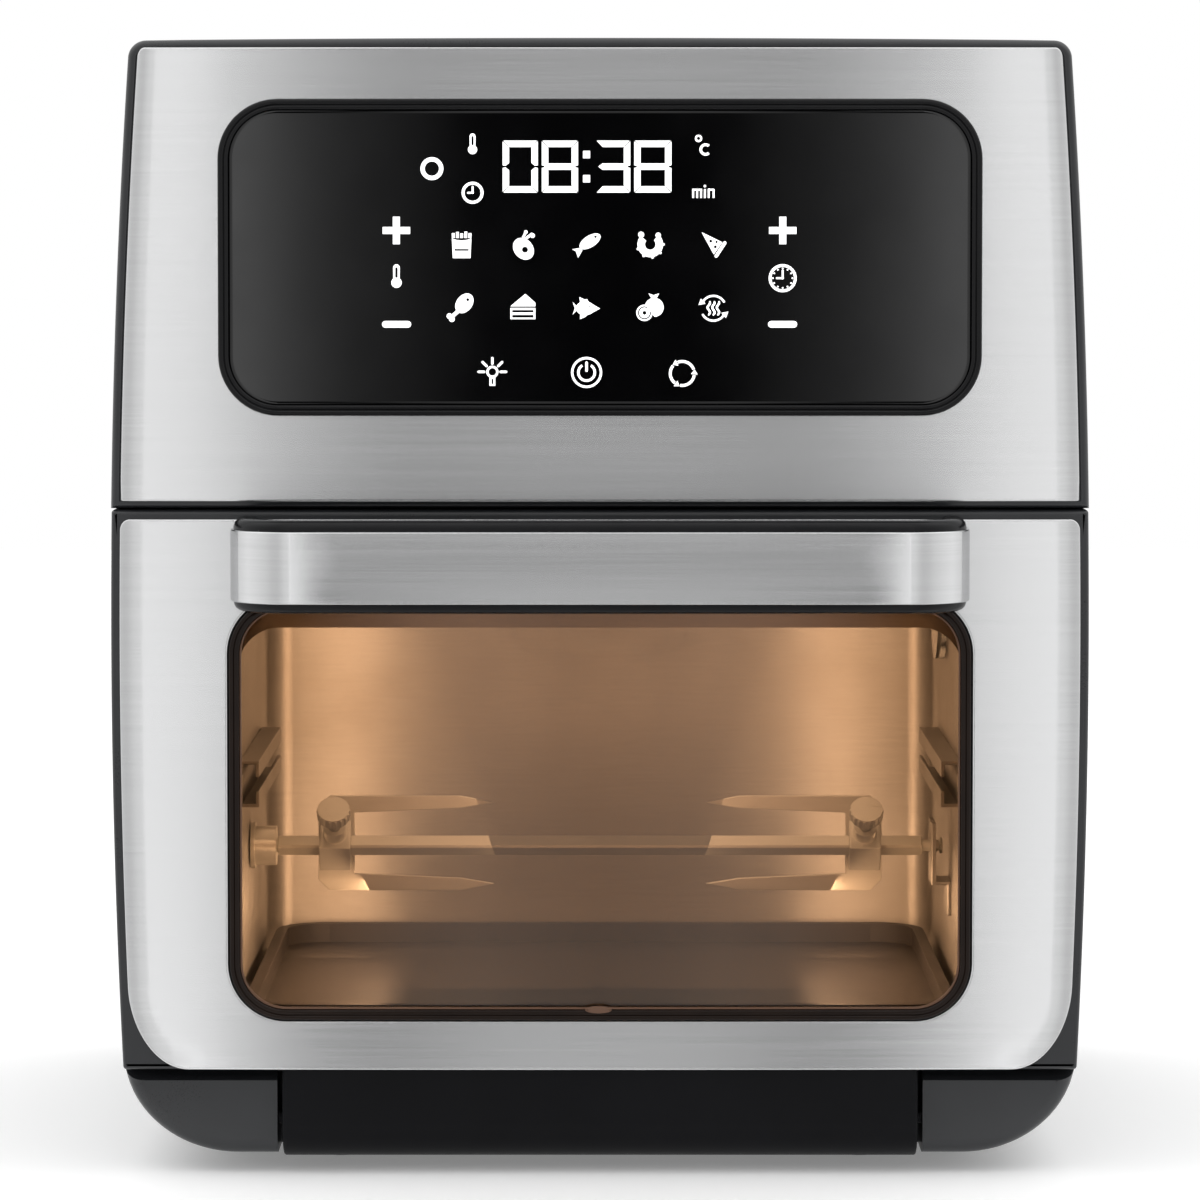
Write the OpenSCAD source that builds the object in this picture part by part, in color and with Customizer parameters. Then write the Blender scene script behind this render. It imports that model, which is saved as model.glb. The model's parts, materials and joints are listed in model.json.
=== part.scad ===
// Countertop rotisserie oven: barrel-sided housing, touch panel over a drop-down
// glazed door, fan-heated steel cavity with a motor-driven spit.
// Axes: +Z up, the door faces -Y, +X is to the right of a person facing the door.
// Origin: on the worktop, under the middle of the oven. Millimetres.

/* [Housing] */
// Width of the housing at its widest
body_w = 323.6; // [320:0.2:328]
// Height of the middle of the top above the worktop
body_h = 376.7; // [374:0.1:382]
// Radius of the bowed side walls
side_r = 2860; // [2600:20:3200]
// Height at which the housing is widest
side_z = 175; // [168:0.5:182]
// Underside of the housing above the worktop
lip_z = 6.5; // [6:0.1:7]
// Thickness of the plastic housing
wall = 2.5; // [2:0.1:3]
// Back face of the housing
rear_y = 147; // [145:0.5:150]
// Depth of the exhaust grille behind the back face
grille_d = 18; // [14:0.5:22]

/* [Front] */
// Front face of the steel fascia and door skin
front_y = -133; // [-134:0.1:-132.6]
// Lower edge of the steel fascia
fascia_z = 224.4; // [224:0.1:225]
// Height of the middle of the control panel
panel_z = 304.6; // [300:0.1:308]
// Width of the control glass
glass_w = 243.4; // [240:0.1:244]
// Height of the control glass
glass_h = 96.6; // [94:0.1:97]

/* [Door] */
// Top edge of the door frame
door_top = 221.5; // [220.5:0.1:221.5]
// Lower edge of the door frame
door_bottom = 35.6; // [35.6:0.1:36.5]
// Width of the window cut in the door skin
window_w = 245.6; // [244:0.1:246]
// Lower edge of the window cut
window_bottom = 52.3; // [52:0.1:54]
// Upper edge of the window cut
window_top = 193; // [190:0.1:193]
// Distance of the hinge axis behind the zero of depth
hinge_y = -118; // [-118:0.1:-117.8]
// Height of the hinge axis
hinge_z = 18; // [18:0.1:18.2]
// Length of the handle
handle_w = 242; // [240:0.5:243]
// How far the handle stands forward of the door skin
handle_d = 32; // [30:0.5:33]

/* [Cavity] */
// Half of the inside width
cav_x = 125; // [124:0.1:125]
// Inside face of the floor
cav_floor = 44; // [44:0.1:44.5]
// Inside face of the ceiling
cav_top = 240; // [238:0.1:240]
// Inside face of the back wall
cav_back = 112; // [110:0.5:113]

/* [Rotisserie] */
// Depth position of the spit
spit_y = 5; // [3:0.5:8]
// Height of the spit
spit_z = 94; // [93:0.5:96]
// Side of the square spit rod
rod_s = 5.5; // [5.5:0.1:5.6]
// Length of each fork tine
tine_l = 50; // [40:1:50]

/* [Hidden] */
$fn = 48;

crown_r = 14000;
foot_clear = 0;
window_h = window_top - window_bottom;
window_z = (window_top + window_bottom) / 2;
handle_y = front_y - handle_d;
carr_y = -129.2;
motor_r = 24;

// ---- outlines -------------------------------------------------------------
function side_half(z) = body_w / 2 - (side_r - sqrt(side_r * side_r - (z - side_z) * (z - side_z)));
function crown(x) = body_h - (crown_r - sqrt(crown_r * crown_r - x * x));
ell_x = 38;
ell_z = 33.5;
corner_z = lip_z + ell_z;
corner_x = side_half(corner_z) - ell_x;
// Right half of the front view of the housing, moved in by d, from the bottom up
function half_outline(d) = let (zt = crown(side_half(body_h)) , rc = max(6 - d, 0.8), hx = side_half(zt - 6) - d)
  concat(
    [for (a = [-90:7.5:-7.5]) [corner_x + (ell_x - d) * cos(a), corner_z + (ell_z - d) * sin(a)]],
    [for (i = [0:14]) let (z = corner_z + i * (zt - d - rc - corner_z) / 14) [side_half(z) - d, z]],
    [for (a = [22.5:22.5:90]) [side_half(zt - d - rc) - d - rc + rc * cos(a), zt - d - rc + rc * sin(a)]],
    [for (i = [1:5]) let (x = (side_half(zt - d - rc) - d - rc) * (1 - i / 6)) [x, crown(x) - d]]);
function mirror_pts(p) = [for (i = [len(p) - 1:-1:0]) [-p[i][0], p[i][1]]];
function outline(d) = let (h = half_outline(d)) concat(h, [[0, body_h - d]], mirror_pts(h));
// Front view of the door: bowed sides, round top corners, elliptical bottom corners
function door_half(d, zb, zt, rt, ex, ez) = concat(
    [for (a = [-90:10:-10]) [side_half(zb + ez) - d - ex + ex * cos(a), zb + ez + ez * sin(a)]],
    [for (i = [0:9]) let (z = zb + ez + i * (zt - rt - zb - ez) / 9) [side_half(z) - d, z]],
    [for (a = [22.5:22.5:90]) [side_half(zt - rt) - d - rt + rt * cos(a), zt - rt + rt * sin(a)]]);
function door_pts(d, zb, zt, rt, ex, ez) = let (h = door_half(d, zb, zt, rt, ex, ez)) concat(h, mirror_pts(h));

// ---- helpers --------------------------------------------------------------
module ext_y(y0, y1) translate([0, y1, 0]) rotate([90, 0, 0]) linear_extrude(y1 - y0) children();
module ext_x(x0, x1) translate([x0, 0, 0]) rotate([90, 0, 90]) linear_extrude(x1 - x0) children();
module ext_z(z0, z1) translate([0, 0, z0]) linear_extrude(z1 - z0) children();
module box(x0, x1, y0, y1, z0, z1) translate([x0, y0, z0]) cube([x1 - x0, y1 - y0, z1 - z0]);
module rrect(w, h, r) {
  square([w - 2 * r, h], center = true);
  square([w, h - 2 * r], center = true);
  for (i = [-1, 1], j = [-1, 1]) translate([i * (w / 2 - r), j * (h / 2 - r)]) circle(r);
}
module band(z0, z1) translate([-200, z0]) square([400, z1 - z0]);
module cyl_x(x0, x1, y, z, r) translate([x0, y, z]) rotate([0, 90, 0]) cylinder(h = x1 - x0, r = r);
module cyl_y(y0, y1, x, z, r) translate([x, y1, z]) rotate([90, 0, 0]) cylinder(h = y1 - y0, r = r);
module cyl_z(z0, z1, x, y, r) translate([x, y, z0]) cylinder(h = z1 - z0, r = r);
module both() { children(); mirror([1, 0, 0]) children(); }
// Countersunk or pan-head screw along Y, head towards +Y when s = 1
module screw_y(x, z, y_head, len, r, rh, hh, s) {
  if (s > 0) { cyl_y(y_head - len, y_head + 0.5, x, z, r); cyl_y(y_head, y_head + hh, x, z, rh); }
  else { cyl_y(y_head - 0.5, y_head + len, x, z, r); cyl_y(y_head - hh, y_head, x, z, rh); }
}
module rear_round(d, y0, y1, r) {
  hw = body_w / 2 + 1;
  intersection() {
    ext_y(y0, y1) polygon(outline(d));
    ext_z(0, body_h + 1) {
      translate([-hw, y0]) square([2 * hw, y1 - r - y0]);
      translate([-hw + d + r + 1, y0]) square([2 * (hw - d - r - 1), y1 - y0]);
      for (s = [-1, 1]) translate([s * (hw - d - r - 1), y1 - r]) circle(r);
    }
    ext_x(-hw, hw) {
      translate([y0, 0]) square([y1 - r - y0, body_h + 1]);
      translate([y0, lip_z + d + r]) square([y1 - y0, body_h - 2 * (d + r) - lip_z]);
      for (z = [lip_z + d + r, body_h - d - r]) translate([y1 - r, z]) circle(r);
    }
  }
}

// ---- housing --------------------------------------------------------------
rear_pts = [[-120, 130], [120, 130], [-128, 250], [128, 250], [-118, 345], [118, 345]];
module outer_housing() color("#26272a") difference() {
  rear_round(0, -101.2, rear_y, 14);
  rear_round(wall, -101.3, rear_y - wall, 11.5);
  box(-112, 112, -102, rear_y + 1, 0, 20);
  ext_y(rear_y - 4, rear_y + 1) intersection() { polygon(outline(15)); band(24, 400); }
  for (s = [-1, 1], i = [0:8]) translate([s * 160, 92, 268 + i * 9]) cube([16, 52, 3.2], center = true);
  for (i = [0:11]) translate([-77 + i * 14, 100, body_h]) cube([3.4, 50, 14], center = true);
}
module base_pan() color("#1c1c1e") {
  difference() {
    union() {
      box(-111.6, 111.6, -101.2, rear_y - 0.5, lip_z, lip_z + wall);
      both() box(100, 117.4, -101.2, 132, 9.7, 11.4);
      both() box(96, 101, -101.2, 132, lip_z + wall - 0.1, 11.4);
      for (x = [-60, 0, 60]) box(x - 1.2, x + 1.2, -96, 138, 8.8, 14);
      for (y = [-60, 20, 100]) box(-98, 98, y - 1.2, y + 1.2, 8.8, 14);
      box(-111.6, 111.6, rear_y - 3.1, rear_y - 0.5, 8.8, 19.7);
      box(-105, 105, rear_y - 5.4, rear_y - 2.9, 8.8, 19.7);
      box(-105, 105, rear_y - 5.4, rear_y - 2.9, 8.8, 24);
      for (x = [-88, 88], y = [-84, 118]) cyl_z(lip_z, 18, x, y, 6);
    }
    for (x = [-88, 88], y = [-84, 118]) cyl_z(lip_z - 1, 17, x, y, 1.5);
    for (i = [0:7], y = [-20, 60]) translate([-42 + i * 12, y, lip_z]) cube([3, 38, 12], center = true);
  }
}
module rear_cover() color("#202124") {
  difference() {
    union() {
      ext_y(rear_y - wall, rear_y) intersection() { polygon(outline(15.4)); band(24.4, 400); }
      ext_y(rear_y - wall - 2.2, rear_y - wall + 0.2) difference() { intersection() { polygon(outline(15.6)); band(26, 400); } intersection() { polygon(outline(18.5)); band(29, 400); } }
      for (p = rear_pts) cyl_y(rear_y - 5.5, rear_y - 0.5, p[0], p[1], 5);
    }
    ext_y(rear_y - 8, rear_y + 1) translate([0, 196]) rrect(66, 78, 6);
    for (i = [0:9]) translate([0, rear_y, 60 + i * 8]) cube([120, 12, 3.2], center = true);
    for (s = [-1, 1], i = [0:6]) translate([s * 74, rear_y, 288 + i * 8]) cube([72, 12, 3.2], center = true);
    cyl_y(rear_y - 8, rear_y + 1, -112, 62, 8.1);
    for (p = rear_pts) cyl_y(rear_y - 8, rear_y + 1, p[0], p[1], 1.75);
    for (p = [[-50, 250], [50, 250], [-50, 142], [50, 142]]) cyl_y(rear_y - 8, rear_y + 1, p[0], p[1], 1.6);
  }
}
module exhaust_grille() color("#1d1e20") {
  difference() {
    union() {
      ext_y(rear_y, rear_y + 2.2) translate([0, 196]) rrect(122, 126, 9);
      ext_y(rear_y, rear_y + grille_d) translate([0, 196]) rrect(88, 100, 9);
    }
    ext_y(rear_y - 1, rear_y + grille_d - 2.5) translate([0, 196]) rrect(82, 94, 6);
    for (i = [0:8]) translate([0, rear_y + grille_d, 160 + i * 9]) cube([70, 12, 4], center = true);
    for (s = [-1, 1], i = [0:6]) translate([s * 43, rear_y + 9.5, 169 + i * 9]) cube([10, 9, 4], center = true);
    for (p = [[-50, 250], [50, 250], [-50, 142], [50, 142]]) cyl_y(rear_y - 1, rear_y + 4, p[0], p[1], 1.6);
  }
}
module exhaust_duct() color("#b9bcbe") {
  difference() {
    union() {
      ext_y(cav_back + 1.2, rear_y - wall - 0.2) translate([0, 196]) rrect(64, 76, 5);
      ext_y(cav_back + 1.2, cav_back + 2) translate([0, 196]) rrect(80, 88, 5);
    }
    ext_y(cav_back, rear_y) translate([0, 196]) rrect(62.4, 74.4, 4.2);
  }
}
module cord_gland() color("#151516") difference() {
  union() {
    cyl_y(rear_y - 9, rear_y + 0.2, -112, 62, 8);
    cyl_y(rear_y, rear_y + 3, -112, 62, 11);
    cyl_y(rear_y + 2.9, rear_y + 5, -112, 62, 7.5);
    cyl_y(rear_y - 9, rear_y - 6.3, -112, 62, 9.2);
  }
  cyl_y(rear_y - 10, rear_y + 6, -112, 62, 3.6);
}
module feet() color("#101011")
  for (x = [-88, 88], y = [-84, 118]) difference() {
    union() { cyl_z(0.6, lip_z, x, y, 9.7); cyl_z(0, 0.7, x, y, 8.9); }
    cyl_z(-1, 3.2, x, y, 3.6);
    cyl_z(-1, 8, x, y, 1.7);
  }
module housing_screws() color("#8d9093") {
  for (p = rear_pts) screw_y(p[0], p[1], rear_y, 9, 1.7, 3.4, 2, 1);
  for (p = [[-50, 250], [50, 250], [-50, 142], [50, 142]]) screw_y(p[0], p[1], rear_y + 2.2, 7, 1.55, 3, 1.8, 1);
  for (x = [-88, 88], y = [-84, 118]) { cyl_z(1.2, 3.2, x, y, 3.2); cyl_z(3.1, 15, x, y, 1.45); }
}

// ---- front ----------------------------------------------------------------
function corner_prof(d) = let (r = 17 - d, b = -9.5 + d, a0 = acos(b / r)) concat(
    [[hinge_y + b, 0]],
    [for (i = [0:8]) let (a = a0 + (90 - a0) * i / 8) [hinge_y + r * cos(a), hinge_z + r * sin(a)]],
    [[-101.5 + (d > 0 ? 1 : 0), hinge_z + r], [-101.5 + (d > 0 ? 1 : 0), 0]]);
module front_frame() color("#1e1f22") difference() {
  union() {
    ext_y(-131.5, -101.5) difference() { intersection() { polygon(outline(0)); band(221.9, 400); } polygon(outline(3)); }
    ext_y(-131.8, -129.3) difference() {
      intersection() { polygon(outline(2.9)); band(221.9, 400); }
      translate([0, panel_z]) rrect(248, 101, 18.5);
    }
    ext_y(-131.5, -105.3) intersection() { polygon(outline(0)); band(221.9, 224.2); }
    both() ext_y(-131.5, -101.5) intersection() { polygon(outline(0)); translate([137, 221.9]) square([40, 2.3]); }
    ext_y(-104, -101.5) difference() {
      intersection() { polygon(outline(0)); band(0, 224); }
      translate([-126.6, 42.4]) square([253.2, 300]);
    }
    both() difference() {
      intersection() { ext_y(-127.5, -101.5) polygon(outline(0)); ext_x(107.2, 170) polygon(corner_prof(0)); }
      intersection() { ext_y(-125, -101) polygon(outline(2.5)); ext_x(109.7, 170) polygon(corner_prof(2.5)); }
    }
    both() cyl_x(107.2, 118, hinge_y, hinge_z, 6);
    for (x = [-140, 140], z = [236, 362]) cyl_y(-129.4, -112, x, z, 4);
  }
  both() box(110, 146, -105, -101, 12, 31);
  both() cyl_x(105, 119, hinge_y, hinge_z, 2.5);
  for (x = [-146, 146]) cyl_y(-105, -101, x, 196, 5.1);
  cyl_y(-105, -101, 146, 62, 2.4);
  for (x = [-140, 140], z = [236, 362]) cyl_y(-125, -111, x, z, 1.5);
}
module fascia_panel() color("#c9cbcc") difference() {
  union() {
    ext_y(front_y, front_y + 0.6) intersection() { polygon(outline(4.3)); band(fascia_z + 0.8, 400); }
    ext_y(front_y + 0.4, front_y + 1.15) intersection() { polygon(outline(3.3)); band(fascia_z, 400); }
  }
  ext_y(front_y - 1, front_y + 3) translate([0, panel_z]) rrect(247.6, 100.6, 18.4);
}
module control_bezel() color("#141415") translate([0, 0, panel_z]) difference() {
  union() {
    ext_y(front_y - 1.9, front_y - 0.05) rrect(251, 104, 19.8);
    ext_y(front_y - 0.1, -126.4) rrect(247.2, 100.2, 18.2);
  }
  ext_y(front_y - 3, -131.6) rrect(glass_w + 0.3, glass_h + 0.3, 16);
  ext_y(-132, -126) rrect(238, 91, 13);
}
module control_glass() color("#0a0a0b") translate([0, 0, panel_z])
  ext_y(front_y - 1.4, -131.7) rrect(glass_w, glass_h, 15.8);
keys = concat([for (x = [-45.4, -25.3, -4.6, 16.5, 37.2], z = [308.7, 287.9]) [x, z]], [for (x = [-35.2, -4.6, 27]) [x, 266.9]],
  [for (x = [-66.7, 59.9], z = [313.8, 283.2]) [x, z]]);
module touch_board() color("#1d5a34") {
  translate([0, 0, panel_z]) ext_y(-128.6, -127) difference() { rrect(226, 86, 6); for (i = [-1, 1], j = [-1, 1]) translate([i * 107, j * 37]) circle(1.7); }
  box(-92, -80, -127.1, -122, 288, 300);
  box(40, 62, -127.1, -124.5, 316, 330);
  box(-20, 12, -127.1, -120, 272, 278);
  box(70, 84, -127.1, -125, 290, 304);
  for (i = [0:5]) box(-60 + i * 9, -56 + i * 9, -127.1, -125.8, 330, 333);
  for (k = keys) cyl_y(-131.6, -128.5, k[0], k[1], 3.2);
}
module led_display() color("#2b2b2e") box(-34, 26, -131.5, -128.7, 323.5, 345);
module control_carrier() color("#2a2b2e") translate([0, 0, panel_z]) {
  difference() {
    union() {
      ext_y(carr_y, carr_y + 2.2) rrect(264, 114, 22);
      ext_y(carr_y, -110.5) rrect(253, 106, 20.5);
    }
    ext_y(carr_y - 1, -112.5) rrect(249, 102, 19);
    box(-30, 30, -114, -109, -50, -40);
  }
  for (i = [-1, 1], j = [-1, 1]) difference() { cyl_y(-126.9, -112.4, i * 107, j * 37, 3.4); cyl_y(-128, -115, i * 107, j * 37, 1.3); }
}
module power_board() color("#2f6b3c") {
  difference() { box(62, 146, -84, 60, 272, 273.6); for (x = [67, 141], y = [-79, 55]) cyl_z(271, 275, x, y, 1.7); }
  for (x = [67, 141], y = [-79, 55]) cyl_z(265.2, 272.1, x, y, 3);
  box(70, 98, -74, -46, 273.5, 300);
  box(104, 118, -72, -44, 273.5, 289);
  box(122, 138, -72, -52, 273.5, 291);
  cyl_z(273.5, 298, 80, -24, 8);
  cyl_z(273.5, 292, 104, -26, 5);
  box(116, 140, -38, -10, 273.5, 284);
  box(72, 100, 6, 18, 273.5, 288);
  box(106, 138, 16, 48, 273.5, 277);
  for (i = [0:3]) box(72 + i * 8, 78 + i * 8, 36, 50, 273.5, 283);
}

// ---- cavity ---------------------------------------------------------------
lamp_y = 40;
lamp_z = 178;
module cavity_liner() color("#a3a19c") difference() {
  union() {
    box(-cav_x - 1, cav_x + 1, -104.2, cav_back + 1, cav_floor - 1, cav_top + 1);
    ext_y(-105, -104) translate([0, 139.4]) rrect(272, 203.4, 6);
  }
  box(-cav_x, cav_x, -104, cav_back, cav_floor, cav_top);
  ext_y(-106, -103.9) union() { translate([0, 126]) rrect(242, 164, 9); translate([-121, 44]) square([242, 40]); }
  cyl_z(cav_top - 1, cav_top + 2, 0, 0, 72);
  cyl_x(-cav_x - 2, -cav_x + 1, spit_y, spit_z, 4.5);
  cyl_x(cav_x - 1, cav_x + 2, lamp_y, lamp_z, 17);
  for (i = [-2:2], j = [0:5]) cyl_y(cav_back - 1, cav_back + 2, i * 10, 170 + j * 10, 3);
  cyl_y(cav_back - 1, cav_back + 2, -80, 205, 2.6);
  for (x = [-9, 9]) cyl_z(cav_top - 1, cav_top + 2, x, 88, 4.4);
}
// Channel-shaped ledge that carries a rack, and the screw bosses behind it
module rail() difference() {
  box(cav_x - 7, cav_x - 0.1, -50, 70, 114, 130);
  box(cav_x - 8, cav_x - 1.2, -52, 72, 119.6, 124.4);
  box(cav_x - 5.8, cav_x - 1.2, -51, 71, 115.2, 119.7);
  box(cav_x - 5.8, cav_x - 1.2, -51, 71, 124.3, 128.8);
}
module rack_rail_left() color("#b4b2ad") mirror([1, 0, 0]) rail();
module rack_rail_right() color("#b4b2ad") rail();
module air_outlet_cover() color("#aaa8a2") difference() {
  ext_y(cav_back - 6.5, cav_back - 0.1) union() { translate([0, 190]) rrect(63, 72, 8); translate([-31.5, 190]) square([63, 48]); }
  ext_y(cav_back - 5.5, cav_back + 1) union() { translate([0, 190]) rrect(61, 70, 7); translate([-30.5, 190]) square([61, 49]); }
  for (i = [0:4]) translate([0, cav_back - 6, 176 + i * 9]) cube([40, 4, 3], center = true);
}
elem_r = [52, 76];
module heating_element() color("#5b5753") {
  for (r = elem_r) translate([0, 0, 229]) rotate([0, 0, 97]) rotate_extrude(angle = 346) translate([r, 0]) circle(3.25);
  for (a = [97, 83]) translate([0, 0, 229]) rotate([0, 0, a]) translate([51, 0, 0]) rotate([0, 90, 0]) cylinder(h = (a == 83 ? 26 : 26), r = 3.25);
  for (x = [-9, 9]) { cyl_z(229, 254, x, 88, 3.25); translate([x, 75, 229]) rotate([-90, 0, 0]) cylinder(h = 13, r = 3.25); translate([x, 88, 229]) sphere(3.25); cyl_z(253.9, 260, x, 88, 1.6); }
}
module heater_clips() color("#c2c0ba") for (a = [-90, 30, 150]) rotate([0, 0, a]) {
  box(47, 82, -4, 4, 232.4, 233.4);
  box(81, 82, -4, 4, 232.4, cav_top - 0.1);
  box(81, 90, -4, 4, cav_top - 1.1, cav_top - 0.1);
}
module fan_guard() color("#d0cfcb") {
  for (r = [14, 27, 40, 53, 66, 79, 90]) difference() { cyl_z(220, 221.6, 0, 0, r + 1.2); cyl_z(219, 223, 0, 0, r - 1.2); }
  for (a = [22.5:45:157.5]) rotate([0, 0, a]) box(-91, 91, -1.1, 1.1, 218.6, 220.1);
  for (a = [22.5:90:292.5]) rotate([0, 0, a]) { box(90, 92.2, -1.1, 1.1, 218.6, cav_top - 0.1); box(90, 99, -4, 4, cav_top - 1.1, cav_top - 0.1); }
}
module fan_shroud() color("#b4b6b7") difference() {
  union() { cyl_z(cav_top + 1.1, 263, 0, 0, 82); cyl_z(cav_top + 1.1, cav_top + 2, 0, 0, 84.5); }
  cyl_z(cav_top, 262.2, 0, 0, 81.2);
  cyl_z(260, 265, 0, 0, 5);
}
module heat_shield() color("#bfc1c2") difference() {
  union() {
    box(-150, 150, -96, 136, 264, 265);
    both() box(140, 150, -90, 100, cav_top + 1.1, cav_top + 2.1);
    both() box(149, 150, -90, 100, cav_top + 1.1, 265);
    both() box(118, 150, -90, 100, cav_top + 1.1, cav_top + 2);
  }
  cyl_z(263, 266, 0, 0, 12);
  for (x = [-9, 9]) cyl_z(263, 266, x, 88, 5.5);
}
module motor_bracket() color("#b0b2b3") difference() {
  union() {
    both() box(46, 47.2, -20, 20, 265.1, 292);
    both() box(46, 58, -20, 20, 265.1, 266.3);
    box(-47.2, 47.2, -20, 20, 291, 292.2);
  }
  cyl_z(290, 293, 0, 0, 9);
  both() cyl_z(264, 267, 52.5, 0, 2);
}
module fan_motor() color("#7c7f82") difference() {
  union() {
    cyl_z(292.3, 322, 0, 0, motor_r);
    cyl_z(290.6, 292.4, 0, 0, 8.6);
    cyl_z(321.9, 326, 0, 0, 8);
    box(-34, 34, -6, 6, 292.3, 294);
    box(-16, 16, 22, 34, 298, 314);
  }
  cyl_z(289, 327, 0, 0, 3.05);
}
module fan_shaft() color("#d6d7d8") cyl_z(244, 328, 0, 0, 3);
module fan_impeller() color("#c4c6c7") difference() {
  union() {
    cyl_z(246, 259, 0, 0, 7);
    cyl_z(257.6, 258.6, 0, 0, 58);
    for (a = [0:30:330]) rotate([0, 0, a]) translate([24, 0, 245.5]) rotate([0, 0, 18]) cube([33, 0.9, 12.4]);
  }
  cyl_z(240, 262, 0, 0, 3);
}
module cooling_fan() color("#c9cacb") difference() {
  union() {
    cyl_z(268.5, 281, 0, 0, 6.5);
    cyl_z(268.5, 269.4, 0, 0, 38);
    for (a = [0:40:320]) rotate([0, 0, a]) translate([12, 0, 269]) rotate([0, 0, -16]) cube([25, 0.9, 11]);
  }
  cyl_z(262, 290, 0, 0, 3);
}
module lamp_holder() color("#cfd0cf") difference() {
  union() { cyl_x(cav_x + 1.1, cav_x + 2, lamp_y, lamp_z, 27); cyl_x(cav_x + 1.1, cav_x + 24, lamp_y, lamp_z, 20); }
  cyl_x(cav_x, cav_x + 23, lamp_y, lamp_z, 19.2);
  cyl_x(cav_x + 20, cav_x + 26, lamp_y, lamp_z, 4);
}
module lamp_bulb() color("#f4efdc") {
  cyl_x(cav_x + 4, cav_x + 16, lamp_y, lamp_z, 5.5);
  translate([cav_x + 4, lamp_y, lamp_z]) sphere(5.5);
  cyl_x(cav_x + 15, cav_x + 22.8, lamp_y, lamp_z, 6.5);
  for (s = [-1, 1]) cyl_x(cav_x + 22.7, cav_x + 28, lamp_y + s * 2.2, lamp_z, 0.8);
}
module lamp_glass() color("#e8eef0") difference() {
  union() { cyl_x(cav_x - 3.4, cav_x - 0.1, lamp_y, lamp_z, 20); cyl_x(cav_x - 0.2, cav_x + 0.9, lamp_y, lamp_z, 16.7); }
  cyl_x(cav_x - 1.6, cav_x + 2, lamp_y, lamp_z, 14.6);
}
module temperature_probe() color("#c8c9c8") {
  cyl_y(96, 126, -80, 205, 2);
  translate([-80, 96, 205]) sphere(2);
  cyl_y(cav_back - 1.3, cav_back - 0.1, -80, 205, 5);
  cyl_y(cav_back + 1.1, cav_back + 5, -80, 205, 4.5);
}
module thermal_cutout() color("#3a3a3c") {
  cyl_z(265.1, 269, -100, 60, 9);
  cyl_z(268.9, 277, -100, 60, 7.5);
  for (s = [-1, 1]) box(-101.6, -98.4, 60 + s * 5 - 0.4, 60 + s * 5 + 0.4, 276.9, 285);
  box(-114, -86, 56, 64, 265.1, 266);
}

// ---- rotisserie -----------------------------------------------------------
module at_spit(a) translate([0, spit_y, spit_z]) rotate([a, 0, 0]) children();
module rotisserie_mount() color("#b0b2b3") difference() {
  union() {
    box(-cav_x - 5.6, -cav_x - 4.4, spit_y - 30, spit_y + 30, spit_z - 24, spit_z + 24);
    for (y = [-25, 25], z = [-19, 19]) cyl_x(-cav_x - 4.5, -cav_x - 1.1, spit_y + y, spit_z + z, 3.5);
  }
  cyl_x(-cav_x - 7, -cav_x - 3, spit_y, spit_z, 5);
}
module rotisserie_motor() color("#8a8d90") difference() {
  union() {
    cyl_x(-151, -cav_x - 9.5, spit_y, spit_z, 21);
    cyl_x(-cav_x - 9.6, -cav_x - 5.7, spit_y, spit_z, 19);
    box(-cav_x - 7, -cav_x - 5.7, spit_y - 29, spit_y + 29, spit_z - 6, spit_z + 6);
    box(-147, -138, spit_y - 8, spit_y + 8, spit_z + 18, spit_z + 30);
  }
  cyl_x(-144, -cav_x - 3, spit_y, spit_z, 3.05);
}
module drive_socket() color("#9a9b99") difference() {
  union() {
    cyl_x(-143, -cav_x + 1, spit_y, spit_z, 3);
    cyl_x(-cav_x + 0.8, -cav_x + 9.5, spit_y, spit_z, 7);
    cyl_x(-cav_x + 0.5, -cav_x + 2, spit_y, spit_z, 8.2);
  }
  at_spit(45) box(-122.6, -115, -2.1, 2.1, -2.1, 2.1);
}
module spit_support() color("#a5a39e") difference() {
  union() {
    ext_x(118, 119.6) translate([spit_y - 9, spit_z - 12]) square([18, 21]);
    box(118, cav_x - 0.1, spit_y - 9, spit_y + 9, spit_z - 13.2, spit_z - 12);
    box(cav_x - 1.3, cav_x - 0.1, spit_y - 9, spit_y + 9, spit_z - 24, spit_z - 12);
  }
  cyl_x(117, 121, spit_y, spit_z, 2.35);
  box(117, 121, spit_y - 2.35, spit_y + 2.35, spit_z, spit_z + 12);
}
module spit_rod() color("#b9b7b2") {
  at_spit(45) box(-115, 115, -rod_s / 2, rod_s / 2, -rod_s / 2, rod_s / 2);
  at_spit(45) box(-122, -114.9, -2, 2, -2, 2);
  cyl_x(114.9, 122.4, spit_y, spit_z, 2);
  cyl_x(121, 122.4, spit_y, spit_z, 2.9);
}
// Flat pressed fork with two tines, folded hub round the rod and a clamp boss
module fork() {
  difference() {
    union() {
      ext_y(spit_y + 6.4, spit_y + 8.2) translate([0, spit_z]) polygon([[-101, -13], [-97, -17], [-50, -17], [-88 + tine_l, -14.6], [-50, -12.6], [-88, -11], [-88, 11],
        [-50, 12.6], [-88 + tine_l, 14.6], [-50, 17], [-97, 17], [-101, 13]]);
      at_spit(45) box(-100, -89, -6.4, 6.4, -6.4, 6.4);
      at_spit(45) translate([-94.5, 0, 6]) cylinder(h = 4.5, r = 4.2);
    }
    at_spit(45) box(-102, -88, -rod_s / 2 - 0.15, rod_s / 2 + 0.15, -rod_s / 2 - 0.15, rod_s / 2 + 0.15);
    at_spit(45) translate([-94.5, 0, 0]) cylinder(h = 14, r = 2.05);
  }
}
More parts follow.
